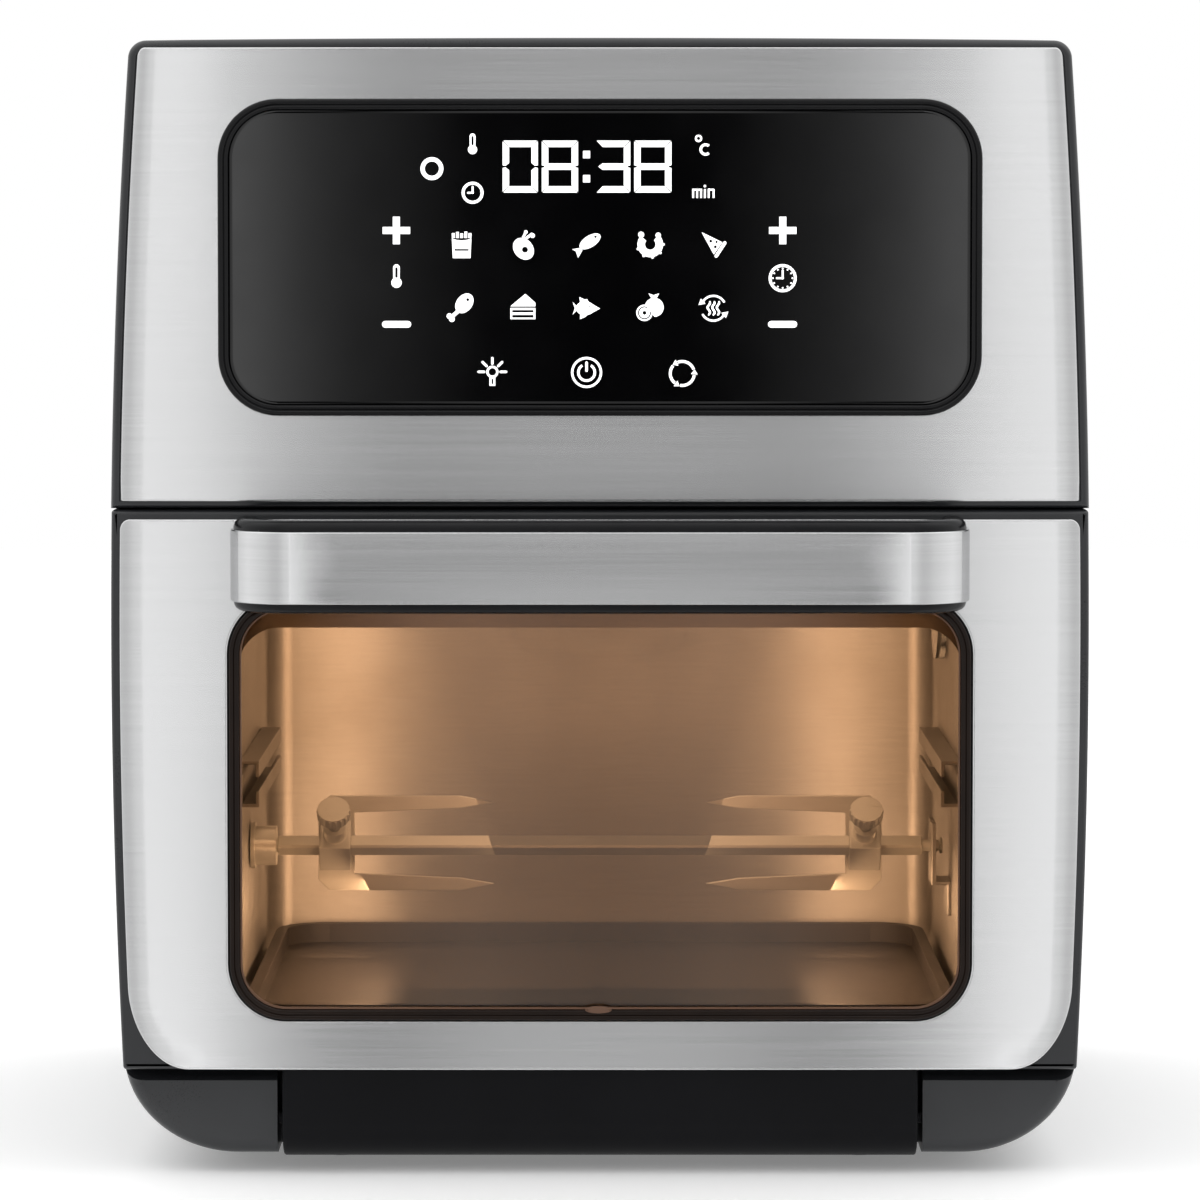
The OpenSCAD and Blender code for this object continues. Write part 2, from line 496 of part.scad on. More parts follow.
module thumb() at_spit(45) translate([-94.5, 0, 0]) {
  translate([0, 0, 3.1]) cylinder(h = 12, r = 2);
  translate([0, 0, 14.9]) cylinder(h = 1.6, r = 3.4);
  translate([0, 0, 16.4]) cylinder(h = 4.4, r = 5.6);
  for (a = [0:20:340]) rotate([0, 0, a]) translate([5.5, 0, 16.9]) cylinder(h = 3.4, r = 0.5, $fn = 16);
}
module fork_left() color("#aeaba4") fork();
module fork_right() color("#aeaba4") mirror([1, 0, 0]) fork();
module thumb_screw_left() color("#c7c5c0") thumb();
module thumb_screw_right() color("#c7c5c0") mirror([1, 0, 0]) thumb();
module drip_tray() color("#3c3a38") translate([0, 5, 0]) difference() {
  union() {
    ext_z(44.4, 51.6) rrect(236, 198, 16);
    ext_z(51.2, 52.4) rrect(242, 204, 19);
  }
  ext_z(45.4, 53) rrect(234, 196, 15);
}

// ---- door -----------------------------------------------------------------
module hinge_pins() color("#cfd0d1") both() cyl_x(95, 119.5, hinge_y, hinge_z, 2.5);
module hinge_springs() color("#9da0a3") both() {
  for (i = [0:4]) translate([119.6 + i * 1.5, hinge_y, hinge_z]) rotate([0, 90, 0]) difference() { cylinder(h = 1.2, r = 5); translate([0, 0, -1]) cylinder(h = 4, r = 3.6); }
  box(119.7, 126.6, hinge_y - 0.6, hinge_y + 0.6, hinge_z + 3.8, hinge_z + 4.8);
  box(125.7, 126.7, hinge_y, hinge_y + 12, hinge_z + 3.8, hinge_z + 4.8);
}
module catch_magnets() color("#8a8c8e") for (x = [-146, 146]) { cyl_y(-104.6, -98, x, 196, 5); cyl_y(-101.4, -99, x, 196, 8); }
module door_switch() color("#30343a") difference() {
  union() { box(138, 154, -101.4, -84, 56, 68); for (z = [59, 65]) box(142, 150, -84.1, -78, z - 0.4, z + 0.4); }
  cyl_y(-102, -92, 146, 62, 2.1);
}
module switch_plunger() color("#c23b2c") { cyl_y(-106.9, -94.5, 146, 62, 2); }
module door_frame() color("#1b1c1e") difference() {
  union() {
    difference() {
      ext_y(-131.8, -108.6) polygon(door_pts(0.3, door_bottom, door_top, 1.2, 1.2, 1.2));
      ext_y(-129.3, -108) polygon(door_pts(2.8, door_bottom + 2.5, door_top - 2.5, 1, 1, 1));
    }
    difference() {
      ext_x(-105.4, 105.4) { translate([hinge_y, hinge_z]) circle(13); translate([-131, hinge_z]) square([22.4, 20]); }
      ext_x(-102.9, 102.9) { translate([hinge_y, hinge_z]) circle(10.5); translate([-128.5, hinge_z]) square([17.4, 21]); }
    }
    both() cyl_x(93, 105.4, hinge_y, hinge_z, 6.2);
    translate([0, 0, window_z]) ext_y(-129.5, -112.6) rrect(window_w + 3.4, window_h + 3.4, 20.7);
    ext_y(-114.6, -112.6) translate([0, 119.5]) rrect(256, 150, 12);
    for (x = [-146, 0, 146], z = [44, 205]) if (x != 0 || z > 100) cyl_y(-129.4, -108.6, x, z, 4.5);
    for (x = [-146, 146]) cyl_y(-129.4, -108.6, x, 120, 4.5);
  }
  translate([0, 0, window_z]) ext_y(-140, -127.4) rrect(window_w - 0.7, window_h - 0.7, 18.7);
  translate([0, 0, window_z]) ext_y(-140, -100) rrect(238, window_h - 7.6, 15.2);
  box(-102.9, 102.9, -128.5, -115.2, 30, 39);
  both() cyl_x(92, 106, hinge_y, hinge_z, 2.56);
  both() cyl_y(-140, -126, 115.9, 207, 2.2);
  for (x = [-146, 0, 146], z = [44, 205]) if (x != 0 || z > 100) cyl_y(-122, -108, x, z, 1.5);
  for (x = [-146, 146]) cyl_y(-122, -108, x, 120, 1.5);
}
module door_skin() color("#c9cbcc") difference() {
  union() {
    ext_y(front_y, front_y + 0.6) polygon(door_pts(4.2, 37, 217.6, 2.8, 20.5, 26.5));
    ext_y(front_y + 0.4, front_y + 1.15) polygon(door_pts(3.2, 36, 218.5, 3.5, 21.5, 27.5));
  }
  translate([0, 0, window_z]) ext_y(front_y - 1, front_y + 3) rrect(window_w, window_h, 19);
  both() cyl_y(front_y - 1, front_y + 3, 115.9, 207, 2.2);
}
module window_rim() color("#121213") translate([0, 0, window_z]) ext_y(front_y - 0.4, front_y + 1.4) difference() {
  rrect(window_w - 0.8, window_h - 0.8, 18.6);
  rrect(237, window_h - 8.6, 14.7);
}
module outer_glass() color("#8a5a34", 0.35) translate([0, 0, window_z]) ext_y(front_y + 1.5, -127.5) rrect(window_w - 1, window_h - 1, 18.5);
module inner_glass() color("#9a7048", 0.3) ext_y(-112.5, -108.6) translate([0, 119.5]) rrect(250, 144, 10);
module door_inner_panel() color("#b3b1ac") difference() {
  ext_y(-108.5, -107.2) difference() {
    polygon(door_pts(3.2, door_bottom + 2.9, door_top - 2.9, 2.4, 1, 1));
    translate([0, 115.5]) rrect(242, 131, 14);
  }
  for (x = [-146, 0, 146], z = [44, 205]) if (x != 0 || z > 100) cyl_y(-110, -106, x, z, 1.75);
  for (x = [-146, 146]) cyl_y(-110, -106, x, 120, 1.75);
}
module door_seal() color("#4a4644") ext_y(-107.1, -105.2) translate([0, 125.5]) difference() { rrect(262, 173, 18); rrect(254, 165, 14); }
module hplan(t) {
  hw = handle_w / 2;
  translate([-hw + 21, handle_y + t]) square([2 * hw - 42, handle_d - t + 1]);
  translate([-hw + t, handle_y + 21]) square([2 * hw - 2 * t, handle_d - 21 + 1]);
  for (s = [-1, 1]) translate([s * (hw - 21), handle_y + 21]) circle(21 - t);
}
module handle_grip() color("#1a1b1d") difference() {
  ext_z(189.4, 219.7) difference() { intersection() { hplan(1.15); translate([-200, -200]) square([400, front_y + 199.9]); } hplan(9); }
  box(-130, 130, front_y - 1.2, front_y + 2, 188, 194.2);
  both() cyl_y(front_y - 11, front_y + 1, 115.9, 207, 1.8);
}
module handle_face() color("#cfd1d2") ext_z(192.6, 216.1) intersection() {
  difference() { hplan(0); hplan(1.0); }
  translate([-200, -200]) square([400, front_y + 199]);
}
module door_screws() color("#9a9da0") {
  both() { cyl_y(front_y - 9, -129.2, 115.9, 207, 1.75); cyl_y(-129.25, -127, 115.9, 207, 3.6); }
  for (x = [-146, 0, 146], z = [44, 205]) if (x != 0 || z > 100) screw_y(x, z, -107.1, 10, 1.45, 3, 1.1, 1);
  for (x = [-146, 146]) screw_y(x, 120, -107.1, 10, 1.45, 3, 1.1, 1);
}

outer_housing();
base_pan();
rear_cover();
exhaust_grille();
exhaust_duct();
cord_gland();
feet();
housing_screws();
front_frame();
fascia_panel();
control_bezel();
control_glass();
touch_board();
led_display();
control_carrier();
power_board();
cavity_liner();
rack_rail_left();
rack_rail_right();
air_outlet_cover();
heating_element();
heater_clips();
fan_guard();
fan_shroud();
heat_shield();
motor_bracket();
fan_motor();
fan_impeller();
fan_shaft();
cooling_fan();
lamp_holder();
lamp_bulb();
lamp_glass();
temperature_probe();
thermal_cutout();
rotisserie_motor();
rotisserie_mount();
drive_socket();
spit_support();
spit_rod();
fork_left();
fork_right();
thumb_screw_left();
thumb_screw_right();
drip_tray();
hinge_pins();
hinge_springs();
catch_magnets();
door_switch();
switch_plunger();
door_frame();
door_skin();
window_rim();
outer_glass();
inner_glass();
door_inner_panel();
door_seal();
handle_grip();
handle_face();
door_screws();
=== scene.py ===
import json
import math

import bmesh
import bpy
from mathutils import Matrix, Vector
from mathutils.geometry import tessellate_polygon

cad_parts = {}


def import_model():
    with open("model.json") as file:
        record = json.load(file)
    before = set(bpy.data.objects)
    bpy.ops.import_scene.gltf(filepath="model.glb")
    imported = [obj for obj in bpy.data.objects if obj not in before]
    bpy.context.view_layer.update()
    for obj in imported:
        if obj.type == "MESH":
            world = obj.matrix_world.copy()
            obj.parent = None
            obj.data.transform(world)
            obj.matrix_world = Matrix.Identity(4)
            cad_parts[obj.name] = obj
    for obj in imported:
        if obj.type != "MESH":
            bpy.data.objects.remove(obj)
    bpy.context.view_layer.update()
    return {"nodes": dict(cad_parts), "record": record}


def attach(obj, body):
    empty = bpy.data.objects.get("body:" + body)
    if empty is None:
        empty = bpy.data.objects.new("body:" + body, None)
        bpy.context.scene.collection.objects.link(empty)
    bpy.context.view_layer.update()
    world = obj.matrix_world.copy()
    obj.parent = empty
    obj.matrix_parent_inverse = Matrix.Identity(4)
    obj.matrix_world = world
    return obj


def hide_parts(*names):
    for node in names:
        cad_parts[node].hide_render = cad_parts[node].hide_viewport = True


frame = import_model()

NODES = frame["nodes"]
SCENE = bpy.context.scene
SCENE.view_settings.view_transform = "Standard"
MM = 0.001

# ---------------------------------------------------------------- camera
cam_data = bpy.data.cameras.new("camera")
cam_data.lens = 150.58
cam_data.shift_y = -0.10
cam_data.sensor_width = 36.0
cam_data.clip_end = 60
cam = bpy.data.objects.new("camera", cam_data)
SCENE.collection.objects.link(cam)
cam.location = (0.0, -1.783, 0.3133)
cam.rotation_euler = (math.radians(90 - 2.84), 0, 0)
SCENE.camera = cam

# ---------------------------------------------------------------- main sizes, mm
BODY_W, BODY_H = 323.6, 376.7
SIDE_R, SIDE_Z = 2860.0, 175.0
LIP_Z, REAR_Y = 6.5, 147.0
FRONT_Y = -133.0
FASCIA_Z, PANEL_Z = 224.4, 304.6
DOOR_TOP, DOOR_BOTTOM = 221.5, 35.6
WIN_W, WIN_B, WIN_T = 245.6, 52.3, 193.0
WIN_H, WIN_Z = WIN_T - WIN_B, (WIN_T + WIN_B) / 2
HINGE_Y, HINGE_Z = -118.0, 18.0
HANDLE_W, HANDLE_D = 242.0, 32.0
HANDLE_Y = FRONT_Y - HANDLE_D
CAV_X, CAV_F, CAV_T, CAV_B = 125.0, 44.0, 240.0, 112.0
SPIT_Y, SPIT_Z = 5.0, 94.0
CROWN_R = 14000.0
ELL_X, ELL_Z = 38.0, 33.5
CORNER_Z = LIP_Z + ELL_Z


def side_half(z):
    return BODY_W / 2 - (SIDE_R - math.sqrt(SIDE_R * SIDE_R - (z - SIDE_Z) ** 2))


def crown(x):
    return BODY_H - (CROWN_R - math.sqrt(CROWN_R * CROWN_R - x * x))


CORNER_X = side_half(CORNER_Z) - ELL_X


def lerp(a, b, t):
    return a + (b - a) * t


def smooth01(t):
    t = min(max(t, 0.0), 1.0)
    return t * t * (3 - 2 * t)


# ---------------------------------------------------------------- outlines (x, z), anticlockwise from the front
def top_half(d, z0, n_side=26, n_corner=9, n_crown=12):
    """Right half of the hood from height z0 up to the middle of the top, moved in by d."""
    rc = max(6 - d, 0.8)
    zt = crown(side_half(BODY_H))
    out = []
    for i in range(n_side + 1):
        z = z0 + i * (zt - d - rc - z0) / n_side
        out.append((side_half(z) - d, z))
    cx, cz = side_half(zt - d - rc) - d - rc, zt - d - rc
    for i in range(1, n_corner + 1):
        a = math.radians(90 * i / n_corner)
        out.append((cx + rc * math.cos(a), cz + rc * math.sin(a)))
    for i in range(1, n_crown):
        x = cx * (1 - i / n_crown)
        out.append((x, crown(x) - d))
    return out


def mirrored(points):
    return [(-x, z) for x, z in reversed(points)]


def hood_loop(d, z0):
    h = top_half(d, z0)
    return h + [(0.0, BODY_H - d)] + mirrored(h)


def full_half(d):
    out = []
    for i in range(21):
        a = math.radians(-90 + 90 * i / 21)
        out.append((CORNER_X + (ELL_X - d) * math.cos(a), CORNER_Z + (ELL_Z - d) * math.sin(a)))
    return out + top_half(d, CORNER_Z, n_side=34)


def full_loop(d):
    h = full_half(d)
    return h + [(0.0, BODY_H - d)] + mirrored(h)


def rrect(w, h, r, cx=0.0, cz=0.0, n=10):
    out = []
    for sx, sz, a0 in ((1, -1, -90), (1, 1, 0), (-1, 1, 90), (-1, -1, 180)):
        for i in range(n + 1):
            a = math.radians(a0 + 90 * i / n)
            out.append((cx + sx * (w / 2 - r) + r * math.cos(a), cz + sz * (h / 2 - r) + r * math.sin(a)))
    return out


def circle(r, cx=0.0, cz=0.0, n=32):
    return [(cx + r * math.cos(2 * math.pi * i / n), cz + r * math.sin(2 * math.pi * i / n)) for i in range(n)]


def inset(loop, t):
    """Moves a closed anticlockwise loop inwards by t."""
    if abs(t) < 1e-9:
        return list(loop)
    n, out = len(loop), []
    for i in range(n):
        p, a, b = Vector(loop[i]), Vector(loop[i - 1]), Vector(loop[(i + 1) % n])
        u, v = (p - a), (b - p)
        if u.length < 1e-9 or v.length < 1e-9:
            out.append(tuple(p))
            continue
        u.normalize(), v.normalize()
        nu, nv = Vector((-u.y, u.x)), Vector((-v.y, v.x))
        m = nu + nv
        if m.length < 1e-6:
            out.append(tuple(p + nu * t))
            continue
        m.normalize()
        out.append(tuple(p + m * (t / max(m.dot(nu), 0.35))))
    return out


# ---------------------------------------------------------------- mesh building, mm
class Build:
    def __init__(self):
        self.v, self.f = [], []

    def pt(self, p):
        self.v.append((float(p[0]), float(p[1]), float(p[2])))
        return len(self.v) - 1

    def ring(self, pts):
        return [self.pt(p) for p in pts]

    def strip(self, a, b, closed=True):
        n = len(a)
        for i in range(n if closed else n - 1):
            j = (i + 1) % n
            self.f.append((a[i], a[j], b[j], b[i]))

    def fan(self, ring, centre):
        n = len(ring)
        for i in range(n):
            self.f.append((ring[i], ring[(i + 1) % n], centre))

    def face(self, ring):
        self.f.append(tuple(ring))

    def fill(self, rings, drop=1):
        """Fills the first ring, leaving the others as holes. drop is the axis to look along."""
        loops, index = [], []
        keep = [k for k in (0, 1, 2) if k != drop]
        for r in rings:
            loops.append([Vector((self.v[i][keep[0]], self.v[i][keep[1]], 0)) for i in r])
            index += list(r)
        for tri in tessellate_polygon(loops):
            t = tuple(index[k] for k in tri)
            if len(set(t)) == 3:
                self.f.append(t)

    def plate(self, outer, holes, y, edge, hole_edge=None):
        """A plate facing -Y. edge is (inset, depth behind y) from the back to the face."""
        hole_edge = hole_edge or edge
        stacks = []
        for loop, prof, s in [(outer, edge, 1)] + [(h, hole_edge, -1) for h in holes]:
            # one more ring on the flat keeps the face's shading apart from its rounded rim
            prof = [(prof[0][0] + 0.45, prof[0][1])] + list(prof) + [(prof[-1][0] + 0.45, prof[-1][1])]
            rings = [self.ring([(x, y + d, z) for x, z in inset(loop, s * i)]) for i, d in prof]
            for a, b in zip(rings, rings[1:]):
                self.strip(a, b)
            stacks.append(rings)
        self.fill([s[-1] for s in stacks])
        self.fill([s[0] for s in stacks])
        return self

    def band(self, loop, prof):
        """A closed ring whose section is prof, points (inset, y)."""
        rings = [self.ring([(x, y, z) for x, z in inset(loop, i)]) for i, y in prof]
        for k in range(len(rings)):
            self.strip(rings[k], rings[(k + 1) % len(rings)])
        return self

    def box(self, x0, x1, y0, y1, z0, z1):
        r = self.ring([(x, y, z) for z in (z0, z1) for x, y in ((x0, y0), (x1, y0), (x1, y1), (x0, y1))])
        for q in ((0, 3, 2, 1), (4, 5, 6, 7), (0, 1, 5, 4), (1, 2, 6, 5), (2, 3, 7, 6), (3, 0, 4, 7)):
            self.f.append(tuple(r[i] for i in q))
        return self

    def lathe(self, prof, origin, axis, n=40, start=0.0):
        """prof is (radius, distance along axis)."""
        ax = Vector(axis).normalized()
        u = ax.orthogonal().normalized()
        w = ax.cross(u)
        rings = []
        for r, h in prof:
            c = Vector(origin) + ax * h
            if r < 1e-6:
                rings.append([self.pt(c)])
            else:
                rings.append(self.ring([c + u * (r * math.cos(start + 2 * math.pi * i / n)) + w * (r * math.sin(start + 2 * math.pi * i / n)) for i in range(n)]))
        for a, b in zip(rings, rings[1:]):
            if len(a) == 1 and len(b) == 1:
                continue
            if len(a) == 1:
                self.fan(b, a[0])
            elif len(b) == 1:
                self.fan(a, b[0])
            else:
                self.strip(a, b)
        return rings

    def tube(self, path, r, n=12, closed=False, cap=True):
        """r is a radius, or a list of radii along the path."""
        P = [Vector(p) for p in path]
        m = len(P)
        R = r if isinstance(r, (list, tuple)) else [r] * m
        tang = []
        for i in range(m):
            a = P[i - 1] if (i > 0 or closed) else P[i]
            b = P[(i + 1) % m] if (i < m - 1 or closed) else P[i]
            tang.append((b - a).normalized())
        u = tang[0].orthogonal().normalized()
        rings = []
        for i in range(m):
            u = (u - tang[i] * u.dot(tang[i])).normalized()
            w = tang[i].cross(u)
            rings.append(self.ring([P[i] + (u * math.cos(2 * math.pi * k / n) + w * math.sin(2 * math.pi * k / n)) * R[i] for k in range(n)]))
        for a, b in zip(rings, rings[1:]):
            self.strip(a, b)
        if closed:
            # the frame may have turned on the way round, so join at the nearest start
            a, b = rings[-1], rings[0]
            k = min(range(n), key=lambda s: (Vector(self.v[a[0]]) - Vector(self.v[b[s]])).length)
            self.strip(a, b[k:] + b[:k])
        elif cap:
            self.fan(rings[0], self.pt(P[0]))
            self.fan(rings[-1], self.pt(P[-1]))
        return self

    def prism(self, loop, x0, x1, chamfer=0.0, steps=3):
        """A closed (y, z) loop drawn out along X, with rounded rims."""
        prof = [(0.0, 0.0)]
        if chamfer > 0:
            prof = []
            for i in range(steps + 1):
                a = math.radians(90 * i / steps)
                prof.append((chamfer * (1 - math.sin(a)), chamfer * (1 - math.cos(a))))
        rings = []
        for i, d in prof:
            rings.append(self.ring([(x0 + d, y, z) for y, z in inset(loop, i)]))
        for i, d in reversed(prof):
            rings.append(self.ring([(x1 - d, y, z) for y, z in inset(loop, i)]))
        for a, b in zip(rings, rings[1:]):
            self.strip(a, b)
        self.fill([rings[0]], drop=0)
        self.fill([rings[-1]], drop=0)
        return self


def piece(b, name, body, material, cuts=(), warp=None, sharp=32.0, bevel=None, solidify=None, subsurf=0, replaces=(), closed=True, weld=1e-3):
    bm = bmesh.new()
    vs = [bm.verts.new(p) for p in b.v]
    for f in b.f:
        ids = []
        for i in f:
            if not ids or ids[-1] != i:
                ids.append(i)
        if len(set(ids)) < 3:
            continue
        try:
            bm.faces.new([vs[i] for i in ids])
        except ValueError:
            pass
    bmesh.ops.remove_doubles(bm, verts=bm.verts, dist=weld)
    for co, no in cuts:
        bmesh.ops.bisect_plane(bm, geom=bm.verts[:] + bm.edges[:] + bm.faces[:], dist=1e-5, plane_co=co, plane_no=no)
    if warp:
        for v in bm.verts:
            v.co = Vector(warp(v.co.x, v.co.y, v.co.z))
    loose = [v for v in bm.verts if not v.link_faces]
    bmesh.ops.delete(bm, geom=loose, context="VERTS")
    bmesh.ops.dissolve_degenerate(bm, dist=1e-5, edges=bm.edges)
    if closed:
        bmesh.ops.recalc_face_normals(bm, faces=bm.faces)
    for v in bm.verts:
        v.co *= MM
    me = bpy.data.meshes.new(name)
    bm.to_mesh(me)
    bm.free()
    me.polygons.foreach_set("use_smooth", [True] * len(me.polygons))
    me.set_sharp_from_angle(angle=math.radians(sharp))
    o = bpy.data.objects.new(name, me)
    SCENE.collection.objects.link(o)
    me.materials.append(material)
    if solidify:
        s = o.modifiers.new("thickness", "SOLIDIFY")
        s.thickness = solidify[0] * MM
        s.offset = solidify[1]
        s.use_even_offset = False
    if bevel:
        m = o.modifiers.new("bevel", "BEVEL")
        m.width = bevel[0] * MM
        m.segments = bevel[1]
        m.limit_method = "ANGLE"
        m.angle_limit = math.radians(bevel[2] if len(bevel) > 2 else 40)
        m.harden_normals = False
    if subsurf:
        s = o.modifiers.new("smooth", "SUBSURF")
        s.levels = s.render_levels = subsurf
    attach(o, body)
    if replaces:
        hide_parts(*replaces)
    return o


def cuts_x(xs):
    return [((x, 0, 0), (1, 0, 0)) for x in xs]


def cuts_z(zs):
    return [((0, 0, z), (0, 0, 1)) for z in zs]


# ---------------------------------------------------------------- materials
def new_mat(name, colour, rough, metal=0.0, spec=0.5, coat=0.0, coat_rough=0.1, aniso=0.0, aniso_rot=0.0, trans=0.0, ior=1.5, glow=None, glow_strength=0.0):
    m = bpy.data.materials.new(name)
    m.use_nodes = True
    nt = m.node_tree
    p = nt.nodes["Principled BSDF"]
    p.inputs["Base Color"].default_value = (*colour, 1)
    p.inputs["Roughness"].default_value = rough
    p.inputs["Metallic"].default_value = metal
    p.inputs["Specular IOR Level"].default_value = spec
    p.inputs["Coat Weight"].default_value = coat
    p.inputs["Coat Roughness"].default_value = coat_rough
    p.inputs["Anisotropic"].default_value = aniso
    p.inputs["Anisotropic Rotation"].default_value = aniso_rot
    p.inputs["Transmission Weight"].default_value = trans
    p.inputs["IOR"].default_value = ior
    if glow:
        p.inputs["Emission Color"].default_value = (*glow, 1)
        p.inputs["Emission Strength"].default_value = glow_strength
    return m, nt, p


def coords(nt, scale):
    tc = nt.nodes.new("ShaderNodeTexCoord")
    mp = nt.nodes.new("ShaderNodeMapping")
    mp.inputs["Scale"].default_value = scale
    nt.links.new(tc.outputs["Object"], mp.inputs["Vector"])
    return mp.outputs["Vector"]


def noise(nt, scale, detail=2.0, rough=0.5, vec=(1, 1, 1), distort=0.0):
    n = nt.nodes.new("ShaderNodeTexNoise")
    n.inputs["Scale"].default_value = scale
    n.inputs["Detail"].default_value = detail
    n.inputs["Roughness"].default_value = rough
    n.inputs["Distortion"].default_value = distort
    nt.links.new(coords(nt, vec), n.inputs["Vector"])
    return n.outputs["Fac"]


def remap(nt, fac, lo, hi, a, b, smooth=False):
    r = nt.nodes.new("ShaderNodeMapRange")
    r.interpolation_type = "SMOOTHSTEP" if smooth else "LINEAR"
    for k, v in (("From Min", lo), ("From Max", hi), ("To Min", a), ("To Max", b)):
        r.inputs[k].default_value = v
    nt.links.new(fac, r.inputs["Value"])
    return r.outputs["Result"]


def mix(nt, fac, a, b, mode="MIX"):
    n = nt.nodes.new("ShaderNodeMix")
    n.data_type = "RGBA"
    n.blend_type = mode
    for k, v in ((0, fac), (6, a), (7, b)):
        if hasattr(v, "is_output"):
            nt.links.new(v, n.inputs[k])
        elif k == 0:
            n.inputs[0].default_value = v
        else:
            n.inputs[k].default_value = (*v, 1)
    return n.outputs[2]


def bump(nt, p, fac, strength, dist):
    b = nt.nodes.new("ShaderNodeBump")
    b.inputs["Strength"].default_value = strength
    b.inputs["Distance"].default_value = dist
    nt.links.new(fac, b.inputs["Height"])
    nt.links.new(b.outputs["Normal"], p.inputs["Normal"])


def add(nt, a, b, fa=1.0, fb=1.0):
    m = nt.nodes.new("ShaderNodeMath")
    m.operation = "MULTIPLY_ADD"
    m.inputs[1].default_value = fa
    nt.links.new(a, m.inputs[0])
    k = nt.nodes.new("ShaderNodeMath")
    k.operation = "MULTIPLY"
    k.inputs[1].default_value = fb
    nt.links.new(b, k.inputs[0])
    nt.links.new(k.outputs[0], m.inputs[2])
    return m.outputs[0]


def shade(c, k):
    return tuple(min(x * k, 1.0) for x in c)


def brushed(name, colour, rough=0.3, aniso=0.95, along=(14, 14, 2600), spread=0.05, tangent=True):
    """Horizontally brushed sheet: hair lines along X, a little cloudiness, and a stretched highlight."""
    m, nt, p = new_mat(name, colour, rough, 1.0, aniso=aniso, aniso_rot=0.25 if tangent else 0.0)
    fine = noise(nt, 1.0, 3.0, 0.65, along)
    mid = noise(nt, 1.0, 2.0, 0.5, (along[0] * 0.35, along[1] * 0.35, along[2] * 0.22))
    cloud = noise(nt, 14.0, 2.0, 0.5)
    lines = add(nt, fine, mid, 0.62, 0.38)
    c1 = mix(nt, remap(nt, lines, 0.32, 0.68, 0, 1), shade(colour, 1 - spread), shade(colour, 1 + spread * 0.6))
    c2 = mix(nt, remap(nt, cloud, 0.35, 0.65, 0.0, 0.05), c1, shade(colour, 0.86))
    nt.links.new(c2, p.inputs["Base Color"])
    nt.links.new(remap(nt, lines, 0.3, 0.7, rough - 0.02, rough + 0.025), p.inputs["Roughness"])
    bump(nt, p, lines, 0.10, 0.00006)
    if tangent:
        t = nt.nodes.new("ShaderNodeTangent")
        t.direction_type = "RADIAL"
        t.axis = "Z"
        nt.links.new(t.outputs["Tangent"], p.inputs["Tangent"])
    return m


def moulded(name, colour, rough=0.42, grain=0.35, scale=2600.0, spec=0.5, coat=0.0, wear=0.25):
    """Moulded plastic with a fine spark texture, faint cloudiness and slightly polished patches."""
    m, nt, p = new_mat(name, colour, rough, spec=spec, coat=coat, coat_rough=0.25)
    fine = noise(nt, scale, 2.0, 0.6)
    cloud = noise(nt, 22.0, 3.0, 0.55)
    c = mix(nt, remap(nt, cloud, 0.3, 0.7, 0, 1), shade(colour, 1 - wear * 0.5), shade(colour, 1 + wear))
    nt.links.new(c, p.inputs["Base Color"])
    nt.links.new(remap(nt, add(nt, cloud, fine, 0.6, 0.4), 0.35, 0.65, rough - 0.04, rough + 0.05), p.inputs["Roughness"])
    bump(nt, p, fine, grain, 0.00005)
    return m


def satin_metal(name, colour, rough=0.35, grain=(90, 90, 900), spread=0.10, stain=None, bump_k=0.08, metal=1.0):
    """Sheet metal with rolling marks and light staining."""
    m, nt, p = new_mat(name, colour, rough, metal)
    lines = noise(nt, 1.0, 3.0, 0.6, grain)
    cloud = noise(nt, 18.0, 3.0, 0.6, distort=0.4)
    c = mix(nt, remap(nt, lines, 0.3, 0.7, 0, 1), shade(colour, 1 - spread), shade(colour, 1 + spread * 0.5))
    c = mix(nt, remap(nt, cloud, 0.45, 0.75, 0.0, 0.35), c, stain or shade(colour, 0.7))
    nt.links.new(c, p.inputs["Base Color"])
    nt.links.new(remap(nt, add(nt, lines, cloud, 0.5, 0.5), 0.3, 0.7, rough - 0.06, rough + 0.08), p.inputs["Roughness"])
    bump(nt, p, lines, bump_k, 0.0001)
    return m


def spangled(name, colour, rough=0.38):
    """Zinc-coated sheet with its crystal pattern."""
    m, nt, p = new_mat(name, colour, rough, 1.0)
    v = nt.nodes.new("ShaderNodeTexVoronoi")
    v.inputs["Scale"].default_value = 220.0
    nt.links.new(coords(nt, (1, 1, 1)), v.inputs["Vector"])
    s = nt.nodes.new("ShaderNodeSeparateColor")
    nt.links.new(v.outputs["Color"], s.inputs["Color"])
    nt.links.new(mix(nt, s.outputs["Red"], shade(colour, 0.86), shade(colour, 1.1)), p.inputs["Base Color"])
    nt.links.new(remap(nt, s.outputs["Green"], 0, 1, rough - 0.08, rough + 0.08), p.inputs["Roughness"])
    return m


def pane(name, tint, rough=0.0, ior=1.5):
    m, nt, p = new_mat(name, tint, rough, trans=1.0, ior=ior)
    smear = noise(nt, 9.0, 3.0, 0.5)
    nt.links.new(mix(nt, remap(nt, smear, 0.35, 0.7, 0, 0.3), tint, shade(tint, 0.94)), p.inputs["Base Color"])
    return m


